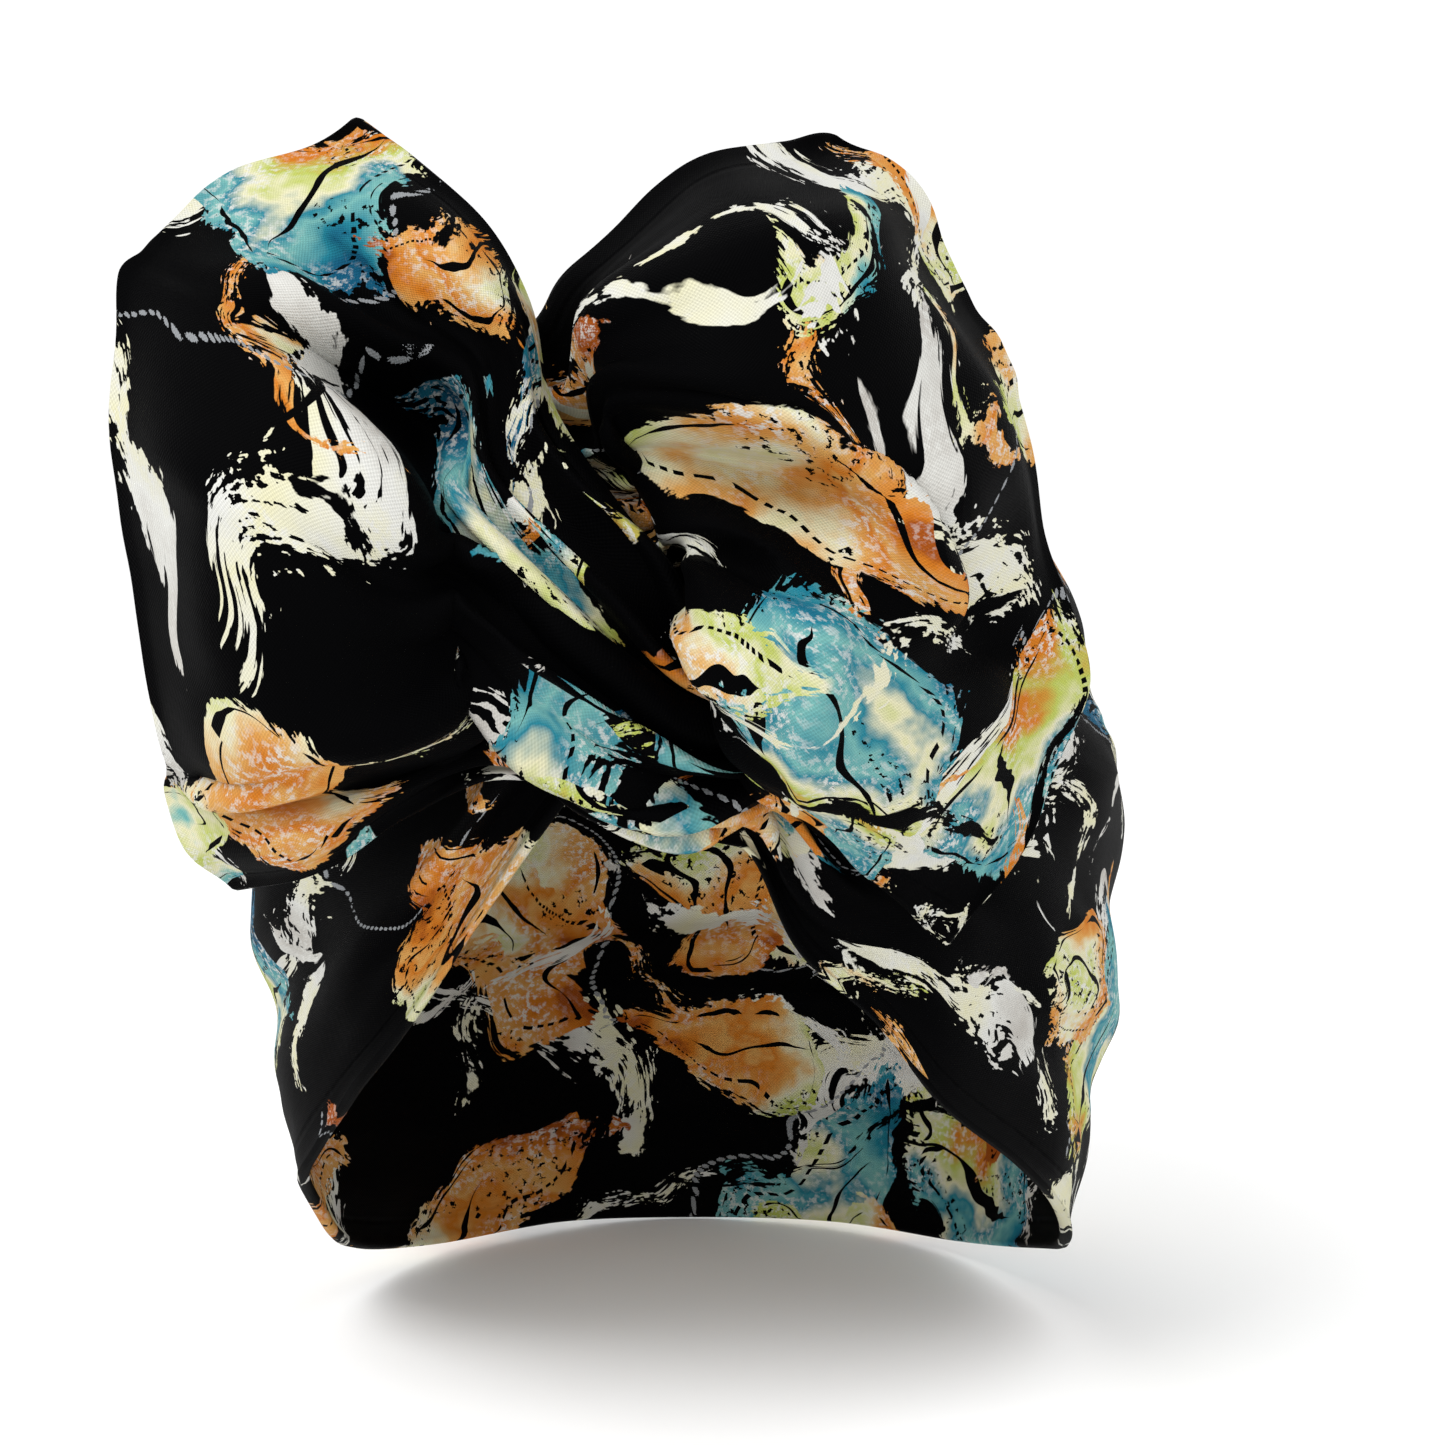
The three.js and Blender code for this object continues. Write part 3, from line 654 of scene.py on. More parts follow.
    def relax(self, points: np.ndarray) -> np.ndarray:
        """Lets the cloth settle, so that no fold is sharper than cotton allows, with its edges held."""
        points, part = points.copy(), self.settling
        for _ in range(self.relax_rounds):
            inner = points[1:-1, 1:-1]
            beside = (points[:-2, 1:-1] + points[2:, 1:-1]) / 2
            before = (points[1:-1, :-2] + points[1:-1, 2:]) / 2
            points[1:-1, 1:-1] = inner + part * (beside - inner) + part * (before - inner)
            for edge in (0, -1):
                for line in (points[edge], points[:, edge]):
                    line[1:-1] += part * ((line[:-2] + line[2:]) / 2 - line[1:-1])
        return points

    def shape(self) -> np.ndarray:
        """Gives the finished middle surface of the strip."""
        points = self.raise_folds(self.middle(), MAIN_FOLDS)
        run = self.runs(points)
        points = self.press_creases(points, CREASES, run)
        points = self.ripple(points, run)
        points = self.raise_folds(points, FINE_FOLDS)
        for wrinkles in WRINKLES:
            points = self.raise_folds(points, wrinkles.folds())
        return self.relax(points)


@dataclass
class StripWall:
    """The two faces of the doubled strip, its rolled wired edges and their shading, for the whole strip."""

    form: WrapForm
    wall: float = 0.0011
    bead: float = 0.0013
    bead_span: float = 0.0022
    bead_turns: tuple[int, ...] = (45, 0, -45)
    tip_turns: tuple[int, ...] = (30, 60, 85)

    def __post_init__(self) -> None:
        """Works out the rings of points round the strip, their outward directions and their flat places."""
        form = self.form
        self.middle = form.shape()
        across, self.along, outward = form.frames(self.middle)
        self.run = form.runs(self.middle)
        width = form.flat_width
        side = np.minimum(form.shares, 1 - form.shares)[:, None] * width
        tip = np.minimum(self.run, self.run[-1] - self.run)[None]
        near = smooth_step(1 - np.minimum(side, tip) / self.bead_span)
        half = self.wall / 2 + (self.bead - self.wall / 2) * near
        outer = self.middle + half[..., None] * outward
        inner = self.middle - half[..., None] * outward
        flat = np.stack(np.broadcast_arrays(form.shares[:, None] * width, self.run[None]), axis=-1)
        back = np.stack([2 * width - flat[..., 0], flat[..., 1]], axis=-1)
        rings, facing, places = [*outer], [*form.frames(outer)[2]], [*flat]
        for edge, sign, start in ((-1, 1, flat[-1]), (0, -1, back[0])):
            for number, turn in enumerate(self.bead_turns[::sign], 1):
                angle = math.radians(turn)
                direction = math.sin(angle) * outward[edge] + sign * math.cos(angle) * across[edge]
                rings.append(self.middle[edge] + self.bead * direction)
                facing.append(direction)
                places.append(start + (self.bead * number * math.pi / 4, 0))
            if sign > 0:
                rings.extend(inner[::-1])
                facing.extend(-form.frames(inner)[2][::-1])
                places.extend(back[::-1])
        self.rings, self.facing, self.places = (np.stack(part, axis=1) for part in (rings, facing, places))

    def _round(self, line: np.ndarray) -> np.ndarray:
        """Repeats a line over the strip for all the points of a ring round it."""
        ends = [np.repeat(line[at:][:1], len(self.bead_turns), 0) for at in (-1, 0)]
        return np.concatenate([line, ends[0], line[::-1], ends[1]])

    def cut(self, start: str, end: str) -> tuple[np.ndarray, np.ndarray, np.ndarray]:
        """Cuts a length between two seams out of the wall.

        Args:
            start: The seam it starts at.
            end: The seam it ends at.

        Returns:
            Its rings of points, their outward directions and their flat places, with each tip rounded.
        """
        first, last = self.form.seam_columns[start], self.form.seam_columns[end]
        parts = [part[first:last + 1] for part in (self.rings, self.facing, self.places)]
        for seam, column, sign in ((start, first, -1), (end, last, 1)):
            if seam not in ("left tip", "right tip"):
                continue
            centre, ahead = self._round(self.middle[:, column]), self._round(self.along[:, column]) * sign
            ring, direction, place = self.rings[column], self.facing[column], self.places[column]
            for turn in self.tip_turns:
                angle = math.radians(turn)
                cos, sin = math.cos(angle), math.sin(angle)
                extra = (
                    centre + (ring - centre) * cos + ahead * self.bead * sin,
                    unit(direction * cos + ahead * sin),
                    place + (0, sign * self.bead * angle),
                )
                parts = [np.concatenate([part, row[None]][::sign]) for part, row in zip(parts, extra)]
        return parts[0], parts[1], parts[2]


@dataclass
class ClothLength:
    """A length of the strip between two seams, as a closed wall with rolled wired edges."""

    name: str
    node: str
    start: str
    end: str
    rests_on: tuple[str, ...] = ()
    held: str = "gathered"

    def build(self, wall: StripWall) -> bpy.types.Object:
        """Makes the mesh of this length, with its flat places as a UV map."""
        rings, facing, places = wall.cut(self.start, self.end)
        rows, beads = len(wall.form.shares), len(wall.bead_turns)
        columns, ring = rings.shape[:2]
        index = np.arange(columns * ring).reshape(columns, ring)
        a, b = index[:-1], index[1:]
        faces = np.stack([a, b, np.roll(b, -1, 1), np.roll(a, -1, 1)], axis=-1).reshape(-1, 4).tolist()
        for column, flip in ((0, False), (columns - 1, True)):
            ids = index[column]
            top, low = ids[:rows], ids[rows + beads:2 * rows + beads][::-1]
            cap = np.stack([top[:-1], top[1:], low[1:], low[:-1]], axis=-1).tolist()
            cap.append([*ids[rows - 1:rows + beads + 1]])
            cap.append([*ids[2 * rows + beads - 1:], ids[0]])
            faces.extend([int(v) for v in (face[::-1] if flip else face)] for face in cap)
        mesh = bpy.data.meshes.new(self.name)
        mesh.from_pydata(rings.reshape(-1, 3).tolist(), [], faces)
        corner = np.zeros(len(mesh.loops), dtype=np.int32)
        mesh.loops.foreach_get("vertex_index", corner)
        uv = places.reshape(-1, 2)[corner].astype(np.float32)
        mesh.uv_layers.new(name="flat_cloth").data.foreach_set("uv", uv.ravel())
        mesh.polygons.foreach_set("use_smooth", np.ones(len(mesh.polygons), dtype=bool))
        mesh.update()
        mesh.normals_split_custom_set_from_vertices(facing.reshape(-1, 3).tolist())
        piece = bpy.data.objects.new(self.name, mesh)
        bpy.context.scene.collection.objects.link(piece)
        return piece

    def dress(self, piece: bpy.types.Object, wall: StripWall, material: bpy.types.Material) -> None:
        """Gives the piece its finish, hangs it on the root body and hides the part that it replaces.

        Args:
            piece: The piece to dress.
            wall: The wall that it was cut from.
            material: The printed cotton.
        """
        piece.data.materials.append(material)
        columns = wall.form.seam_columns
        length = float(wall.run[columns[self.end]] - wall.run[columns[self.start]])
        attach(piece, "root")
        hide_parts(self.node)
        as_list(self.rests_on)
        LOG.info("%s: %d faces, %.3f m of the strip", self.name, len(piece.data.polygons), length)


LENGTHS = (
    ClothLength("left_lobe_cloth", "left_lobe", "left tip", "left gather"),
    ClothLength("front_strand_cloth", "twist_front", "left gather", "front end"),
    ClothLength("band_cloth", "head_band", "front end", "back start"),
    ClothLength("back_strand_cloth", "twist_back", "back start", "right gather"),
    ClothLength("right_lobe_cloth", "right_lobe", "right gather", "right tip"),
)


Socket = bpy.types.NodeSocket
Colour = tuple[float, float, float]
Stops = tuple[tuple[float, Colour], ...]


def step(operation: str, swapped: bool = False) -> Callable[..., "Signal"]:
    """Makes an operator of signals.

    Args:
        operation: The math node's operation.
        swapped: Whether the other value comes first.

    Returns:
        A method that adds the node and gives its value.
    """
    def reckon(signal: "Signal", other: "Signal | float" = 0.0) -> "Signal":
        """Adds the node."""
        return signal.sketch.math(operation, *((other, signal) if swapped else (signal, other)))

    return reckon


@dataclass(frozen=True)
class Signal:
    """What a shader node puts out. Reckoning with it adds the nodes; a comparison gives 1 or 0."""

    sketch: "NodeSketch"
    socket: Socket

    __add__, __sub__, __mul__, __truediv__ = step("ADD"), step("SUBTRACT"), step("MULTIPLY"), step("DIVIDE")
    __lt__, __gt__, __abs__ = step("LESS_THAN"), step("GREATER_THAN"), step("ABSOLUTE")
    __rsub__ = step("SUBTRACT", swapped=True)
    part = step("FRACT")


Signals = dict[str | int, Signal]
Value = Signal | float | tuple[float, ...]


class NodeSketch:
    """Adds nodes to a tree and joins them."""

    def __init__(self, tree: bpy.types.NodeTree) -> None:
        """Takes the tree to draw in."""
        self.tree = tree

    def feed(self, target: Socket, value: Value) -> None:
        """Joins a signal to an input, or sets the input to a plain value."""
        if isinstance(value, Signal):
            self.tree.links.new(value.socket, target)
        else:
            target.default_value = value

    def add(self, kind: str, links: dict[str | int, Value], **settings: object) -> Signals:
        """Adds a node.

        Args:
            kind: The node's type.
            links: For each input, a signal to join or a value to set.
            settings: Properties of the node.

        Returns:
            What the node puts out, by name and by number.
        """
        node = self.tree.nodes.new(kind)
        for key, value in settings.items():
            setattr(node, key, value)
        for key, value in links.items():
            self.feed(node.inputs[key], value)
        outputs: Signals = {}
        for number, socket in enumerate(node.outputs):
            outputs[number] = outputs[socket.name] = Signal(self, socket)
        return outputs

    def math(self, operation: str, a: Value, b: Value = 0.0) -> Signal:
        """Adds a math node and gives its value."""
        return self.add("ShaderNodeMath", {0: a, 1: b}, operation=operation)[0]

    def most(self, first: Signal, *others: Signal) -> Signal:
        """Gives the greatest of some values."""
        for other in others:
            first = self.math("MAXIMUM", first, other)
        return first

    def vector(self, operation: str, a: Value, b: Value) -> Signal:
        """Adds a vector math node and gives its vector."""
        return self.add("ShaderNodeVectorMath", {0: a, 1: b}, operation=operation)[0]

    def scaled(self, a: Value, scale: Value) -> Signal:
        """Scales a vector by a number."""
        return self.add("ShaderNodeVectorMath", {0: a, "Scale": scale}, operation="SCALE")[0]

    def parts(self, a: Signal) -> tuple[Signal, Signal, Signal]:
        """Splits a vector into its three numbers."""
        out = self.add("ShaderNodeSeparateXYZ", {0: a})
        return out[0], out[1], out[2]

    def joined(self, x: Value, y: Value) -> Signal:
        """Joins two numbers into a flat vector."""
        return self.add("ShaderNodeCombineXYZ", {0: x, 1: y})[0]

    def noise(self, place: Signal, scale: float, detail: float, rough: float = 0.5, out: str = "Fac") -> Signal:
        """Adds flat noise and gives its value, from 0 to 1, or its colour."""
        links = {"Vector": place, "Scale": scale, "Detail": detail, "Roughness": rough}
        return self.add("ShaderNodeTexNoise", links, noise_dimensions="2D")[out]

    def cells(self, place: Signal, scatter: float, feature: str) -> Signals:
        """Adds flat cells of unit size round scattered points."""
        links = {"Vector": place, "Scale": 1.0, "Randomness": scatter}
        return self.add("ShaderNodeTexVoronoi", links, voronoi_dimensions="2D", feature=feature)

    def ramp_to(self, value: Signal, low: float, high: float, soft: bool = False) -> Signal:
        """Maps a value from low..high to 0..1."""
        links = {"Value": value, "From Min": low, "From Max": high}
        kind = "SMOOTHSTEP" if soft else "LINEAR"
        return self.add("ShaderNodeMapRange", links, interpolation_type=kind, clamp=True)[0]

    def colours(self, value: Signal, stops: Stops) -> Signal:
        """Adds a colour ramp.

        Args:
            value: The value to look up.
            stops: Places and colours of the ramp.

        Returns:
            The colour.
        """
        out = self.add("ShaderNodeValToRGB", {0: value})[0]
        ramp = out.socket.node.color_ramp
        while len(ramp.elements) < len(stops):
            ramp.elements.new(1.0)
        for element, (place, colour) in zip(ramp.elements, stops):
            element.position, element.color = place, (*colour, 1)
        return out

    def mixed(self, share: Signal, a: Value, b: Value) -> Signal:
        """Mixes two colours."""
        a, b = ((*side, 1) if isinstance(side, tuple) else side for side in (a, b))
        return self.add("ShaderNodeMix", {0: share, 6: a, 7: b}, data_type="RGBA")[2]


class EffectGroup:
    """A shader node group that takes flat places in metres, named `Flat`, and named numbers."""

    def __init__(self, name: str, numbers: tuple[str, ...], outputs: tuple[str, ...]) -> None:
        """Makes an empty group.

        Args:
            name: Name of the group.
            numbers: Names of the numbers it takes.
            outputs: Names of the numbers it puts out.
        """
        self.tree = bpy.data.node_groups.new(name, "ShaderNodeTree")
        self.tree.interface.new_socket("Flat", in_out="INPUT", socket_type="NodeSocketVector")
        for labels, way in ((numbers, "INPUT"), (outputs, "OUTPUT")):
            for label in labels:
                self.tree.interface.new_socket(label, in_out=way, socket_type="NodeSocketFloat")
        self.sketch = NodeSketch(self.tree)
        self.given = self.sketch.add("NodeGroupInput", {})
        self.result = self.tree.nodes.new("NodeGroupOutput").inputs

    def put(self, **values: Signal) -> None:
        """Joins values to the group's outputs."""
        for label, value in values.items():
            self.sketch.feed(self.result[label], value)

    def place(self, sketch: NodeSketch, **links: Value) -> Signals:
        """Places the group in another tree and gives what it puts out."""
        node = sketch.tree.nodes.new("ShaderNodeGroup")
        node.node_tree = self.tree
        for key, value in links.items():
            sketch.feed(node.inputs[key], value)
        return {socket.name: Signal(sketch, socket) for socket in node.outputs}


@dataclass(frozen=True)
class MarkStyle:
    """How the brush marks look, with lengths as shares of the cell that each mark lies in."""

    seed_skew: float = 1.7
    wander: float = 0.6
    wander_scale: float = 1.6
    scatter: float = 0.6
    cell_gap: float = 0.03
    bend: float = 2.4
    leanest: float = 0.6
    fatter: float = 0.8
    taper: float = 0.65
    heavy_end: float = 0.45
    pick_steps: tuple[float, float] = (7.3, 5.1)
    edge_scale: float = 6.0
    waver: float = 0.14
    bristle_scales: tuple[float, float] = (11.0, 50.0)
    bristle_share: float = 0.6
    crumb_scale: float = 27.0
    crumb_share: float = 0.5
    ragged_middle: float = 0.55
    worn_scale: float = 1.9
    worn_levels: tuple[float, float] = (0.42, 0.58)
    least_dry: float = 0.25
    blur: float = 0.003
    broken_scale: float = 4.5
    contour_inset: float = 0.035
    contour_waver: float = 0.04
    contour_gaps: float = 0.42
    contour_width: float = 0.07
    vein_curve: float = 0.05
    vein_sway: float = 0.09
    vein_width: float = 0.034
    vein_ends: tuple[tuple[float, float], tuple[float, float]] = ((0.95, 0.3), (-0.35, 0.2))
    veinless: float = 0.35
    dashes: float = 13.0
    dash_share: float = 0.6
    dash_inset: float = 0.06
    dash_waver: float = 0.05
    dash_width: float = 0.008

    def group(self) -> EffectGroup:
        """Makes the group that scatters leaf-shaped brush marks over the flat cloth.

        Returns:
            A group that gives the marks' mask, the mask of their ink lines, the places along and beside their
            middle line, the distance outside their outline, and two random picks for each mark.
        """
        group = EffectGroup(
            "brush_marks",
            ("Scale", "Seed", "Length", "Width", "Dryness", "Share"),
            ("Mask", "Ink", "Along", "Beside", "Outside", "Pick", "Other"),
        )
        s, g = group.sketch, group.given
        offset = s.joined(g["Seed"], g["Seed"] * self.seed_skew)
        moved = s.vector("ADD", s.scaled(g["Flat"], g["Scale"]), offset)
        push = s.vector("SUBTRACT", s.noise(moved, self.wander_scale, 1.5, out="Color"), (0.5, 0.5, 0.5))
        place = s.vector("ADD", moved, s.scaled(push, self.wander))
        cell = s.cells(place, self.scatter, "F1")
        border = s.cells(place, self.scatter, "DISTANCE_TO_EDGE")["Distance"]
        red, green, blue = s.parts(cell["Color"])
        other, size = (((a + b) * n).part() for a, b, n in zip((red, green), (blue, red), self.pick_steps))
        fat = size * self.fatter + self.leanest
        links = {"Vector": s.vector("SUBTRACT", place, cell["Position"]), "Angle": red * (2 * math.pi)}
        x, y, _ = s.parts(s.add("ShaderNodeVectorRotate", links, rotation_type="Z_AXIS")[0])
        bend = (green - 0.5) * self.bend
        beside, along = x * x * bend + y, x / g["Length"]
        bulge = s.math("POWER", s.math("MAXIMUM", 1.0 - along * along, 0.0), self.taper)
        width = bulge * (along * self.heavy_end + 1.0) * fat * g["Width"]
        outside = s.most(abs(beside) - width, abs(x) - g["Length"], self.cell_gap - border)

        edge, broken = s.noise(place, self.edge_scale, 2.0), s.noise(place, self.broken_scale, 2.0)
        drawn = s.joined(x * self.bristle_scales[0], beside * self.bristle_scales[1])
        bristle = s.noise(drawn, 1.0, 2.0, 0.55)
        crumbs = s.noise(place, self.crumb_scale, 2.5, 0.6)
        ragged = bristle * self.bristle_share + crumbs * self.crumb_share
        worn = s.ramp_to(s.noise(place, self.worn_scale, 1.0), *self.worn_levels)
        dry = g["Dryness"] * (worn * (1 - self.least_dry) + self.least_dry)
        rough = (ragged - self.ragged_middle) * dry + (edge - 0.5) * self.waver
        mask = s.ramp_to(outside + rough, self.blur, -self.blur) * (blue < g["Share"])

        side = beside * bend
        inset = abs(outside + edge * self.contour_waver + self.contour_inset)
        contour = (inset < (broken - self.contour_gaps) * self.contour_width) * (side > 0.0)
        off = abs(beside + (along * along * self.vein_curve + (broken - 0.5) * self.vein_sway))
        head, foot = (s.ramp_to(along, *levels, soft=True) for levels in self.vein_ends)
        vein = (off < head * foot * edge * self.vein_width) * (other > self.veinless)
        row = abs(edge * self.dash_waver + outside + self.dash_inset) < self.dash_width
        dashes = row * ((along * self.dashes).part() < self.dash_share) * (side < 0.0)
        ink = s.most(contour, vein, dashes)
        group.put(Mask=mask, Ink=ink, Along=along, Beside=beside, Outside=outside, Pick=green, Other=other)
        return group


@dataclass(frozen=True)
class WeaveStyle:
    """The plain weave, its slubs and the pressed hems, in metres."""

    warp_pitch: float = 0.00065
    weft_pitch: float = 0.0007
    yarn_height: float = 0.00004
    slub_height: float = 0.00009
    slub_scales: tuple[float, float] = (900.0, 160.0)
    hem_place: float = 0.0052
    hem_span: float = 0.0011
    hem_depth: float = 0.0003
    pucker_scale: float = 260.0
    rub_scale: float = 45.0

    def group(self) -> EffectGroup:
        """Makes the group.

        Returns:
            A group that gives the height of the cloth, its yarns from -1 to 1, and its rubbed patches.
        """
        group = EffectGroup("cotton_weave", ("Width",), ("Height", "Yarn", "Rub"))
        s, g = group.sketch, group.given
        across, along, _ = s.parts(g["Flat"])
        warp = s.math("SINE", across * (2 * math.pi / self.warp_pitch))
        yarn = warp * s.math("SINE", along * (2 * math.pi / self.weft_pitch))
        slub = s.noise(s.joined(across * self.slub_scales[0], along * self.slub_scales[1]), 1.0, 2.0)
        fold = s.math("PINGPONG", across, g["Width"])
        edge = s.math("MINIMUM", fold, g["Width"] - fold)
        seam = s.ramp_to(abs(edge - self.hem_place), self.hem_span, 0.0, True)
        pucker = s.noise(s.joined(0.0, along * self.pucker_scale), 1.0, 1.0)
        dip = seam * -self.hem_depth * (pucker + 0.6)
        height = yarn * self.yarn_height + slub * self.slub_height + dip
        group.put(Height=height, Yarn=yarn, Rub=s.noise(g["Flat"], self.rub_scale, 3.0))
        return group


@dataclass(frozen=True)
class BrushLayer:
    """One layer of brush marks: marks for each metre, size as shares of a mark's cell, and palette stops."""

    seed: float
    scale: float
    length: float
    width: float
    dryness: float
    share: float
    warm: Stops
    cool: Stops
    veins: bool = False
    dots: bool = False


ORANGE, PEACH, RUST = (0.47, 0.145, 0.014), (0.53, 0.28, 0.08), (0.27, 0.062, 0.008)
CREAM, CHALK, STONE = (0.57, 0.55, 0.37), (0.56, 0.56, 0.53), (0.38, 0.36, 0.33)
LIME, AQUA, LAGOON, DEEP = (0.37, 0.42, 0.09), (0.14, 0.34, 0.32), (0.015, 0.165, 0.225), (0.007, 0.08, 0.15)
INK = (0.0006, 0.0006, 0.0008)


def wash(places: tuple[float, ...], *paints: Colour) -> Stops:
    """Pairs places with paints, from the first to the last."""
    return tuple(zip(places, paints))


WARM_WASH = wash((0.0, 0.1, 0.32, 0.42, 0.6, 0.75, 1.0), RUST, ORANGE, PEACH, ORANGE, PEACH, CREAM, LIME)
COOL_WASH = wash((0.0, 0.18, 0.4, 0.52, 0.66, 0.82, 1.0), DEEP, LAGOON, AQUA, LAGOON, CREAM, LIME, ORANGE)
LIME_WASH = wash((0.0, 0.15, 0.3, 0.5, 0.66, 0.82, 1.0), LAGOON, AQUA, CREAM, LIME, CREAM, PEACH, ORANGE)
PALE_WASH = wash((0.0, 0.4, 0.7, 1.0), STONE, CHALK, CREAM, CHALK)
INK_WASH = wash((0.0, 1.0), INK, INK)
PRINT_LAYERS = (
    BrushLayer(3.1, 15.0, 0.64, 0.06, 0.5, 0.8, PALE_WASH, PALE_WASH),
    BrushLayer(8.4, 23.0, 0.64, 0.03, 0.4, 0.6, PALE_WASH, WARM_WASH),
    BrushLayer(11.7, 16.0, 0.5, 0.26, 0.3, 0.74, WARM_WASH, COOL_WASH, veins=True, dots=True),
    BrushLayer(27.3, 21.0, 0.48, 0.2, 0.3, 0.5, LIME_WASH, WARM_WASH, veins=True),
    BrushLayer(52.3, 19.0, 0.62, 0.028, 0.25, 0.8, INK_WASH, INK_WASH),
    BrushLayer(41.9, 13.0, 0.65, 0.014, 0.25, 0.5, PALE_WASH, PALE_WASH),
)


@dataclass(frozen=True)
class PrintedCotton:
    """The cotton of the strip: a black ground with painted leaves, streaks and beaded lines."""

    name: str = "printed_cotton"
    marks: MarkStyle = MarkStyle()
    weave: WeaveStyle = WeaveStyle()
    ground: Colour = INK
    bead: Colour = (0.22, 0.23, 0.24)
    roughness: float = 0.58
    rub: float = 0.16
    # How far the painted shade of the weave darkens the colour in the yarns' hollows and lightens it on their
    # crowns.
    yarn_painted_shade: float = 0.14
    sheen: float = 0.0015
    sheen_roughness: float = 0.45
    specular: float = 0.014
    strip_width: float = 0.18
    wash_scale: float = 2.6
    wash_drift: float = 1.5
    wash_run: float = 0.42
    warm_share: float = 0.52
    sponge_scales: tuple[float, float] = (620.0, 55.0)
    sponge_cover: float = 0.85
    speck_scales: tuple[float, float] = (520.0, 38.0)
    speck_levels: tuple[float, float] = (0.62, 0.43)
    bead_count: float = 17.0
    bead_off: float = 0.06
    bead_span: float = 0.028
    bead_grain: float = 2600.0
    beaded_share: float = 0.55

    def _beads(self, s: NodeSketch, flat: Signal, out: Signals) -> Signal:
        """Draws rows of small beads beside some marks.

        Args:
            s: The material's tree.
            flat: Flat places on the cloth, in metres.
            out: What the marks' group puts out.

        Returns:
            The mask of the beads.
        """
        run = (out["Along"] * self.bead_count).part() - 0.5
        off = (out["Outside"] - self.bead_off) / self.bead_span
        size = s.noise(flat, self.bead_grain, 1.0) * 0.22 + 0.02
        return (run * run + off * off < size) * (out["Beside"] > 0.0) * (out["Pick"] < self.beaded_share)

    def _painted(
        self, s: NodeSketch, flat: Signal, marks: EffectGroup, layer: BrushLayer, under: Value
    ) -> Signal:
        """Paints one layer over what is under it.

        Args:
            s: The material's tree.
            flat: Flat places on the cloth, in metres.
            marks: The group of brush marks.
            layer: The layer to paint.
            under: The colour below.

        Returns:
            The colour with the layer on it.
        """
        keys = ("scale", "seed", "length", "width", "dryness", "share")
        out = marks.place(s, Flat=flat, **{key.capitalize(): getattr(layer, key) for key in keys})
        if layer.warm is INK_WASH:
            return s.mixed(out["Mask"], under, self.ground)
        drift = (s.noise(flat, layer.scale * self.wash_scale, 4.0) - 0.5) * self.wash_drift
        place = drift + (out["Along"] * self.wash_run + 0.5)
        warm, cool = s.colours(place, layer.warm), s.colours(place, layer.cool)
        paint = s.mixed(out["Other"] > self.warm_share, warm, cool)
        sponge = s.ramp_to(s.noise(flat, self.sponge_scales[0], 4.0, 0.7), 0.5, 0.6)
        spread = s.ramp_to(s.noise(flat, self.sponge_scales[1], 2.0), 0.38, 0.66)
        paint = s.mixed(sponge * spread * self.sponge_cover, paint, CHALK)
        if layer.veins:
            specks = s.noise(flat, self.speck_scales[0], 3.0, 0.6) > self.speck_levels[0]
            bare = s.noise(flat, self.speck_scales[1], 1.0) < self.speck_levels[1]
            paint = s.mixed(s.most(out["Ink"], specks * bare), paint, self.ground)
        painted = s.mixed(out["Mask"], under, paint)
        return s.mixed(self._beads(s, flat, out), painted, self.bead) if layer.dots else painted

    def material(self) -> bpy.types.Material:
        """Makes the material."""
        made = bpy.data.materials.new(self.name)
        made.use_nodes = True
        s = NodeSketch(made.node_tree)
        flat = s.add("ShaderNodeUVMap", {}, uv_map="flat_cloth")[0]
        marks = self.marks.group()
        colour: Value = self.ground
        for layer in PRINT_LAYERS:
            colour = self._painted(s, flat, marks, layer, colour)
        cloth = self.weave.group().place(s, Flat=flat, Width=self.strip_width)
        bump = s.add("ShaderNodeBump", {"Height": cloth["Height"], "Strength": 1.0, "Distance": 1.0})[0]
        shader = made.node_tree.nodes["Principled BSDF"].inputs
        for label, value in {
            # The colour follows the yarn heights, lighter on the crowns and darker in the hollows: painted
            # shade of the weave.
            "Base Color": s.scaled(colour, cloth["Yarn"] * self.yarn_painted_shade + 1.0),
            "Roughness": cloth["Rub"] * self.rub + (self.roughness - self.rub / 2),
            "Normal": bump,
            "Sheen Weight": self.sheen,
            "Sheen Roughness": self.sheen_roughness,
            "Specular IOR Level": self.specular,
        }.items():
            s.feed(shader[label], value)
        return made


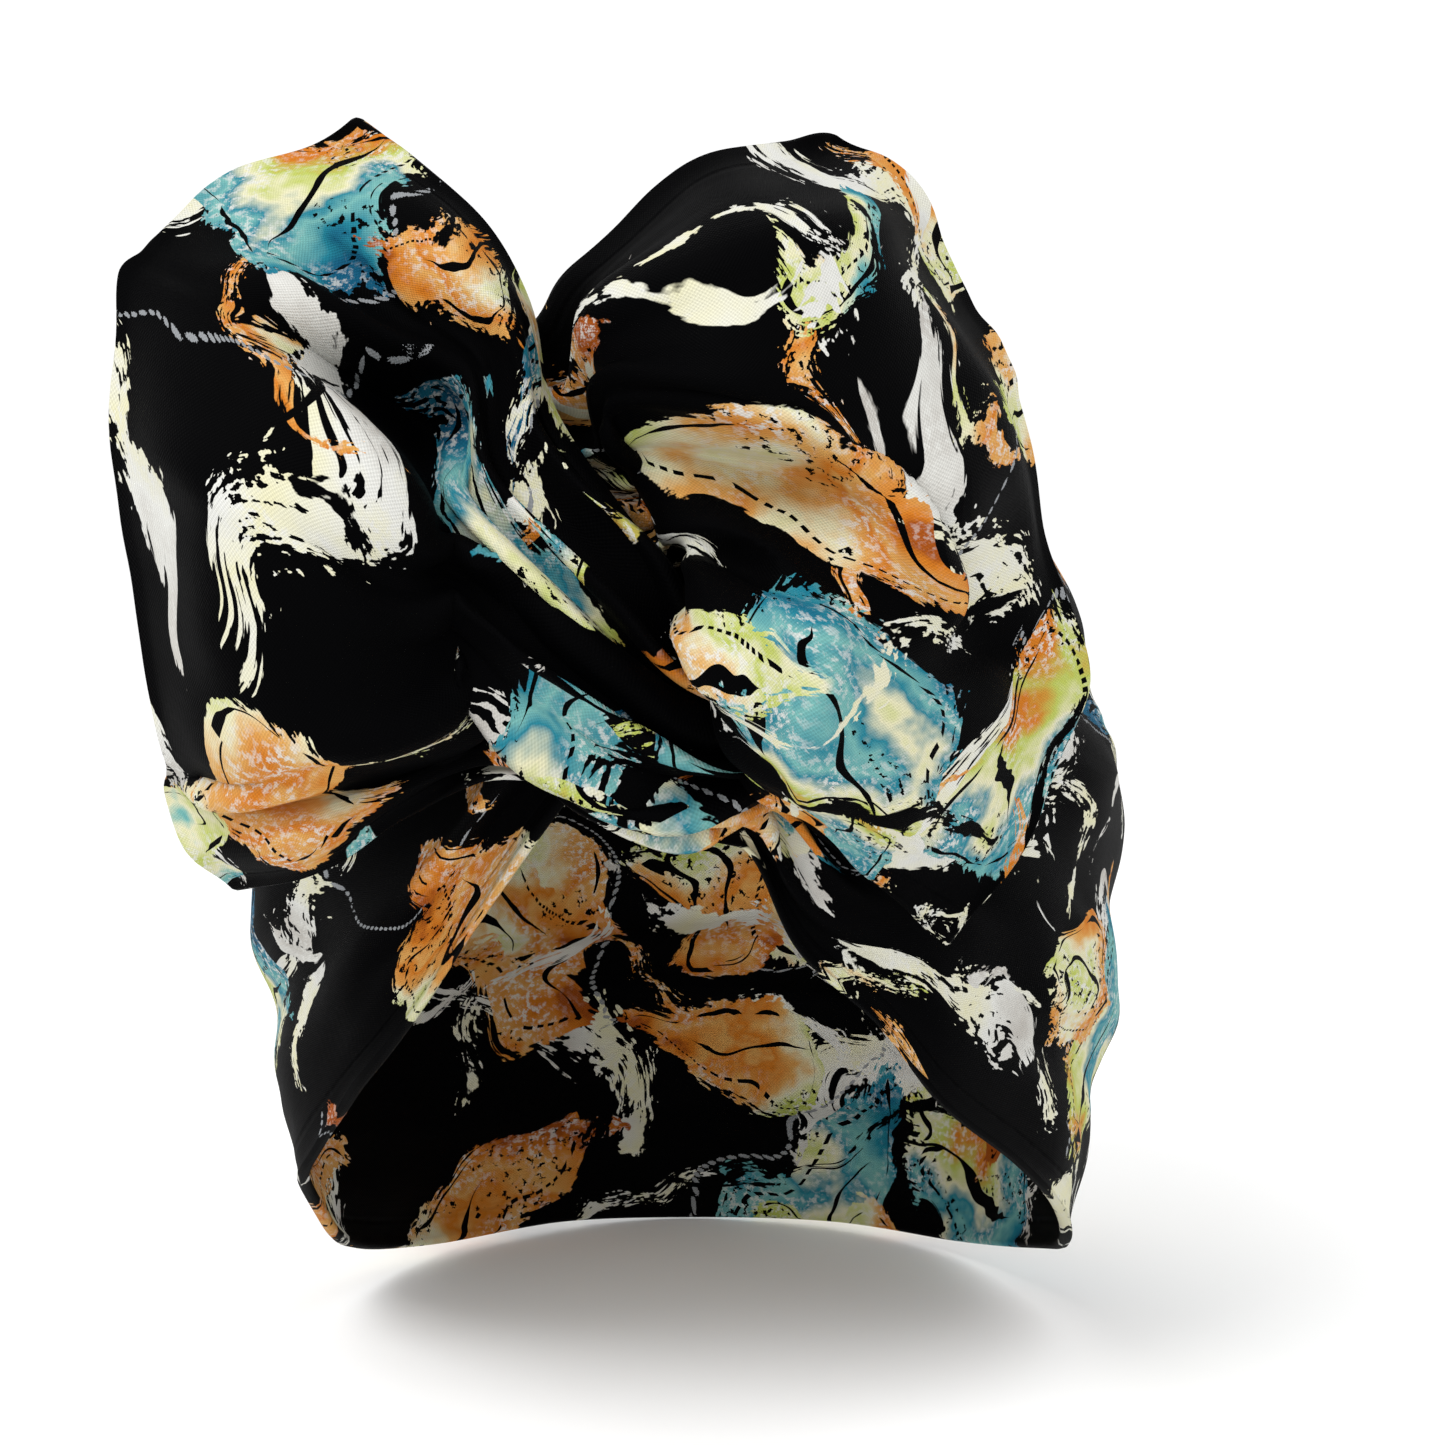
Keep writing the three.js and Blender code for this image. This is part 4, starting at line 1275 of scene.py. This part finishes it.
@dataclass
class Studio:
    """The pale floor, the soft light and the camera at the photograph's viewing angle."""

    target: Share3 = (0.0055, 0.0, 0.0215)
    distance: float = 0.7
    elevation: float = 6.0
    lens: float = 87.2
    sensor: float = 36.0
    nearest: float = 0.01
    floor_level: float = -0.1024
    floor_size: float = 80
    shade: float = 0.97
    sky: float = 1.05
    aim: Share3 = (0, 0, 0.02)

    def camera(self) -> None:
        """Places the camera."""
        data = bpy.data.cameras.new("camera")
        data.lens, data.sensor_width, data.clip_start = self.lens, self.sensor, self.nearest
        camera = bpy.data.objects.new("camera", data)
        tilt = math.radians(self.elevation)
        back = Vector((0, -math.cos(tilt), math.sin(tilt)))
        camera.location = Vector(self.target) + back * self.distance
        camera.rotation_euler = (-back).to_track_quat("-Z", "Y").to_euler()
        bpy.context.scene.collection.objects.link(camera)
        bpy.context.scene.camera = camera

    def floor(self) -> None:
        """Lays the floor."""
        bpy.ops.mesh.primitive_plane_add(size=self.floor_size, location=(0, 0, self.floor_level))
        plane = bpy.context.object
        plane.name = "floor"
        paint = bpy.data.materials.new("floor_paper")
        paint.use_nodes = True
        shader = paint.node_tree.nodes["Principled BSDF"].inputs
        shader["Base Color"].default_value = (self.shade, self.shade, self.shade, 1)
        shader["Roughness"].default_value = 1.0
        shader["Specular IOR Level"].default_value = 0.0
        plane.data.materials.append(paint)

    def light(self, name: str, place: Share3, size: float, power: float) -> None:
        """Adds one soft light that points at the wrap.

        Args:
            name: Name of the light.
            place: Where it stands.
            size: Side of the square light.
            power: Power in watts.
        """
        data = bpy.data.lights.new(name, "AREA")
        data.size, data.energy = size, power
        lamp = bpy.data.objects.new(name, data)
        lamp.location = place
        lamp.rotation_euler = (Vector(self.aim) - Vector(place)).to_track_quat("-Z", "Y").to_euler()
        bpy.context.scene.collection.objects.link(lamp)

    def build(self) -> None:
        """Builds the whole studio."""
        self.camera()
        self.floor()
        world = bpy.data.worlds.new("studio")
        world.use_nodes = True
        sky = world.node_tree.nodes["Background"].inputs
        sky["Color"].default_value, sky["Strength"].default_value = (1, 1, 1, 1), self.sky
        bpy.context.scene.world = world
        self.light("key", (-0.6, -0.8, 1.0), 0.6, 10)
        self.light("fill", (0.9, -0.6, 0.4), 0.8, 2)
        bpy.context.scene.view_settings.view_transform = "Standard"


def main() -> None:
    """Builds the wrap and its studio."""
    logging.basicConfig(level=logging.INFO, format="%(name)s: %(message)s")
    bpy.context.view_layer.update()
    wall = StripWall(WrapForm())
    cotton = PrintedCotton().material()
    for length in LENGTHS:
        piece = length.build(wall)
        length.dress(piece, wall, cotton)
    Studio().build()


if __name__ == "__main__":
    main()
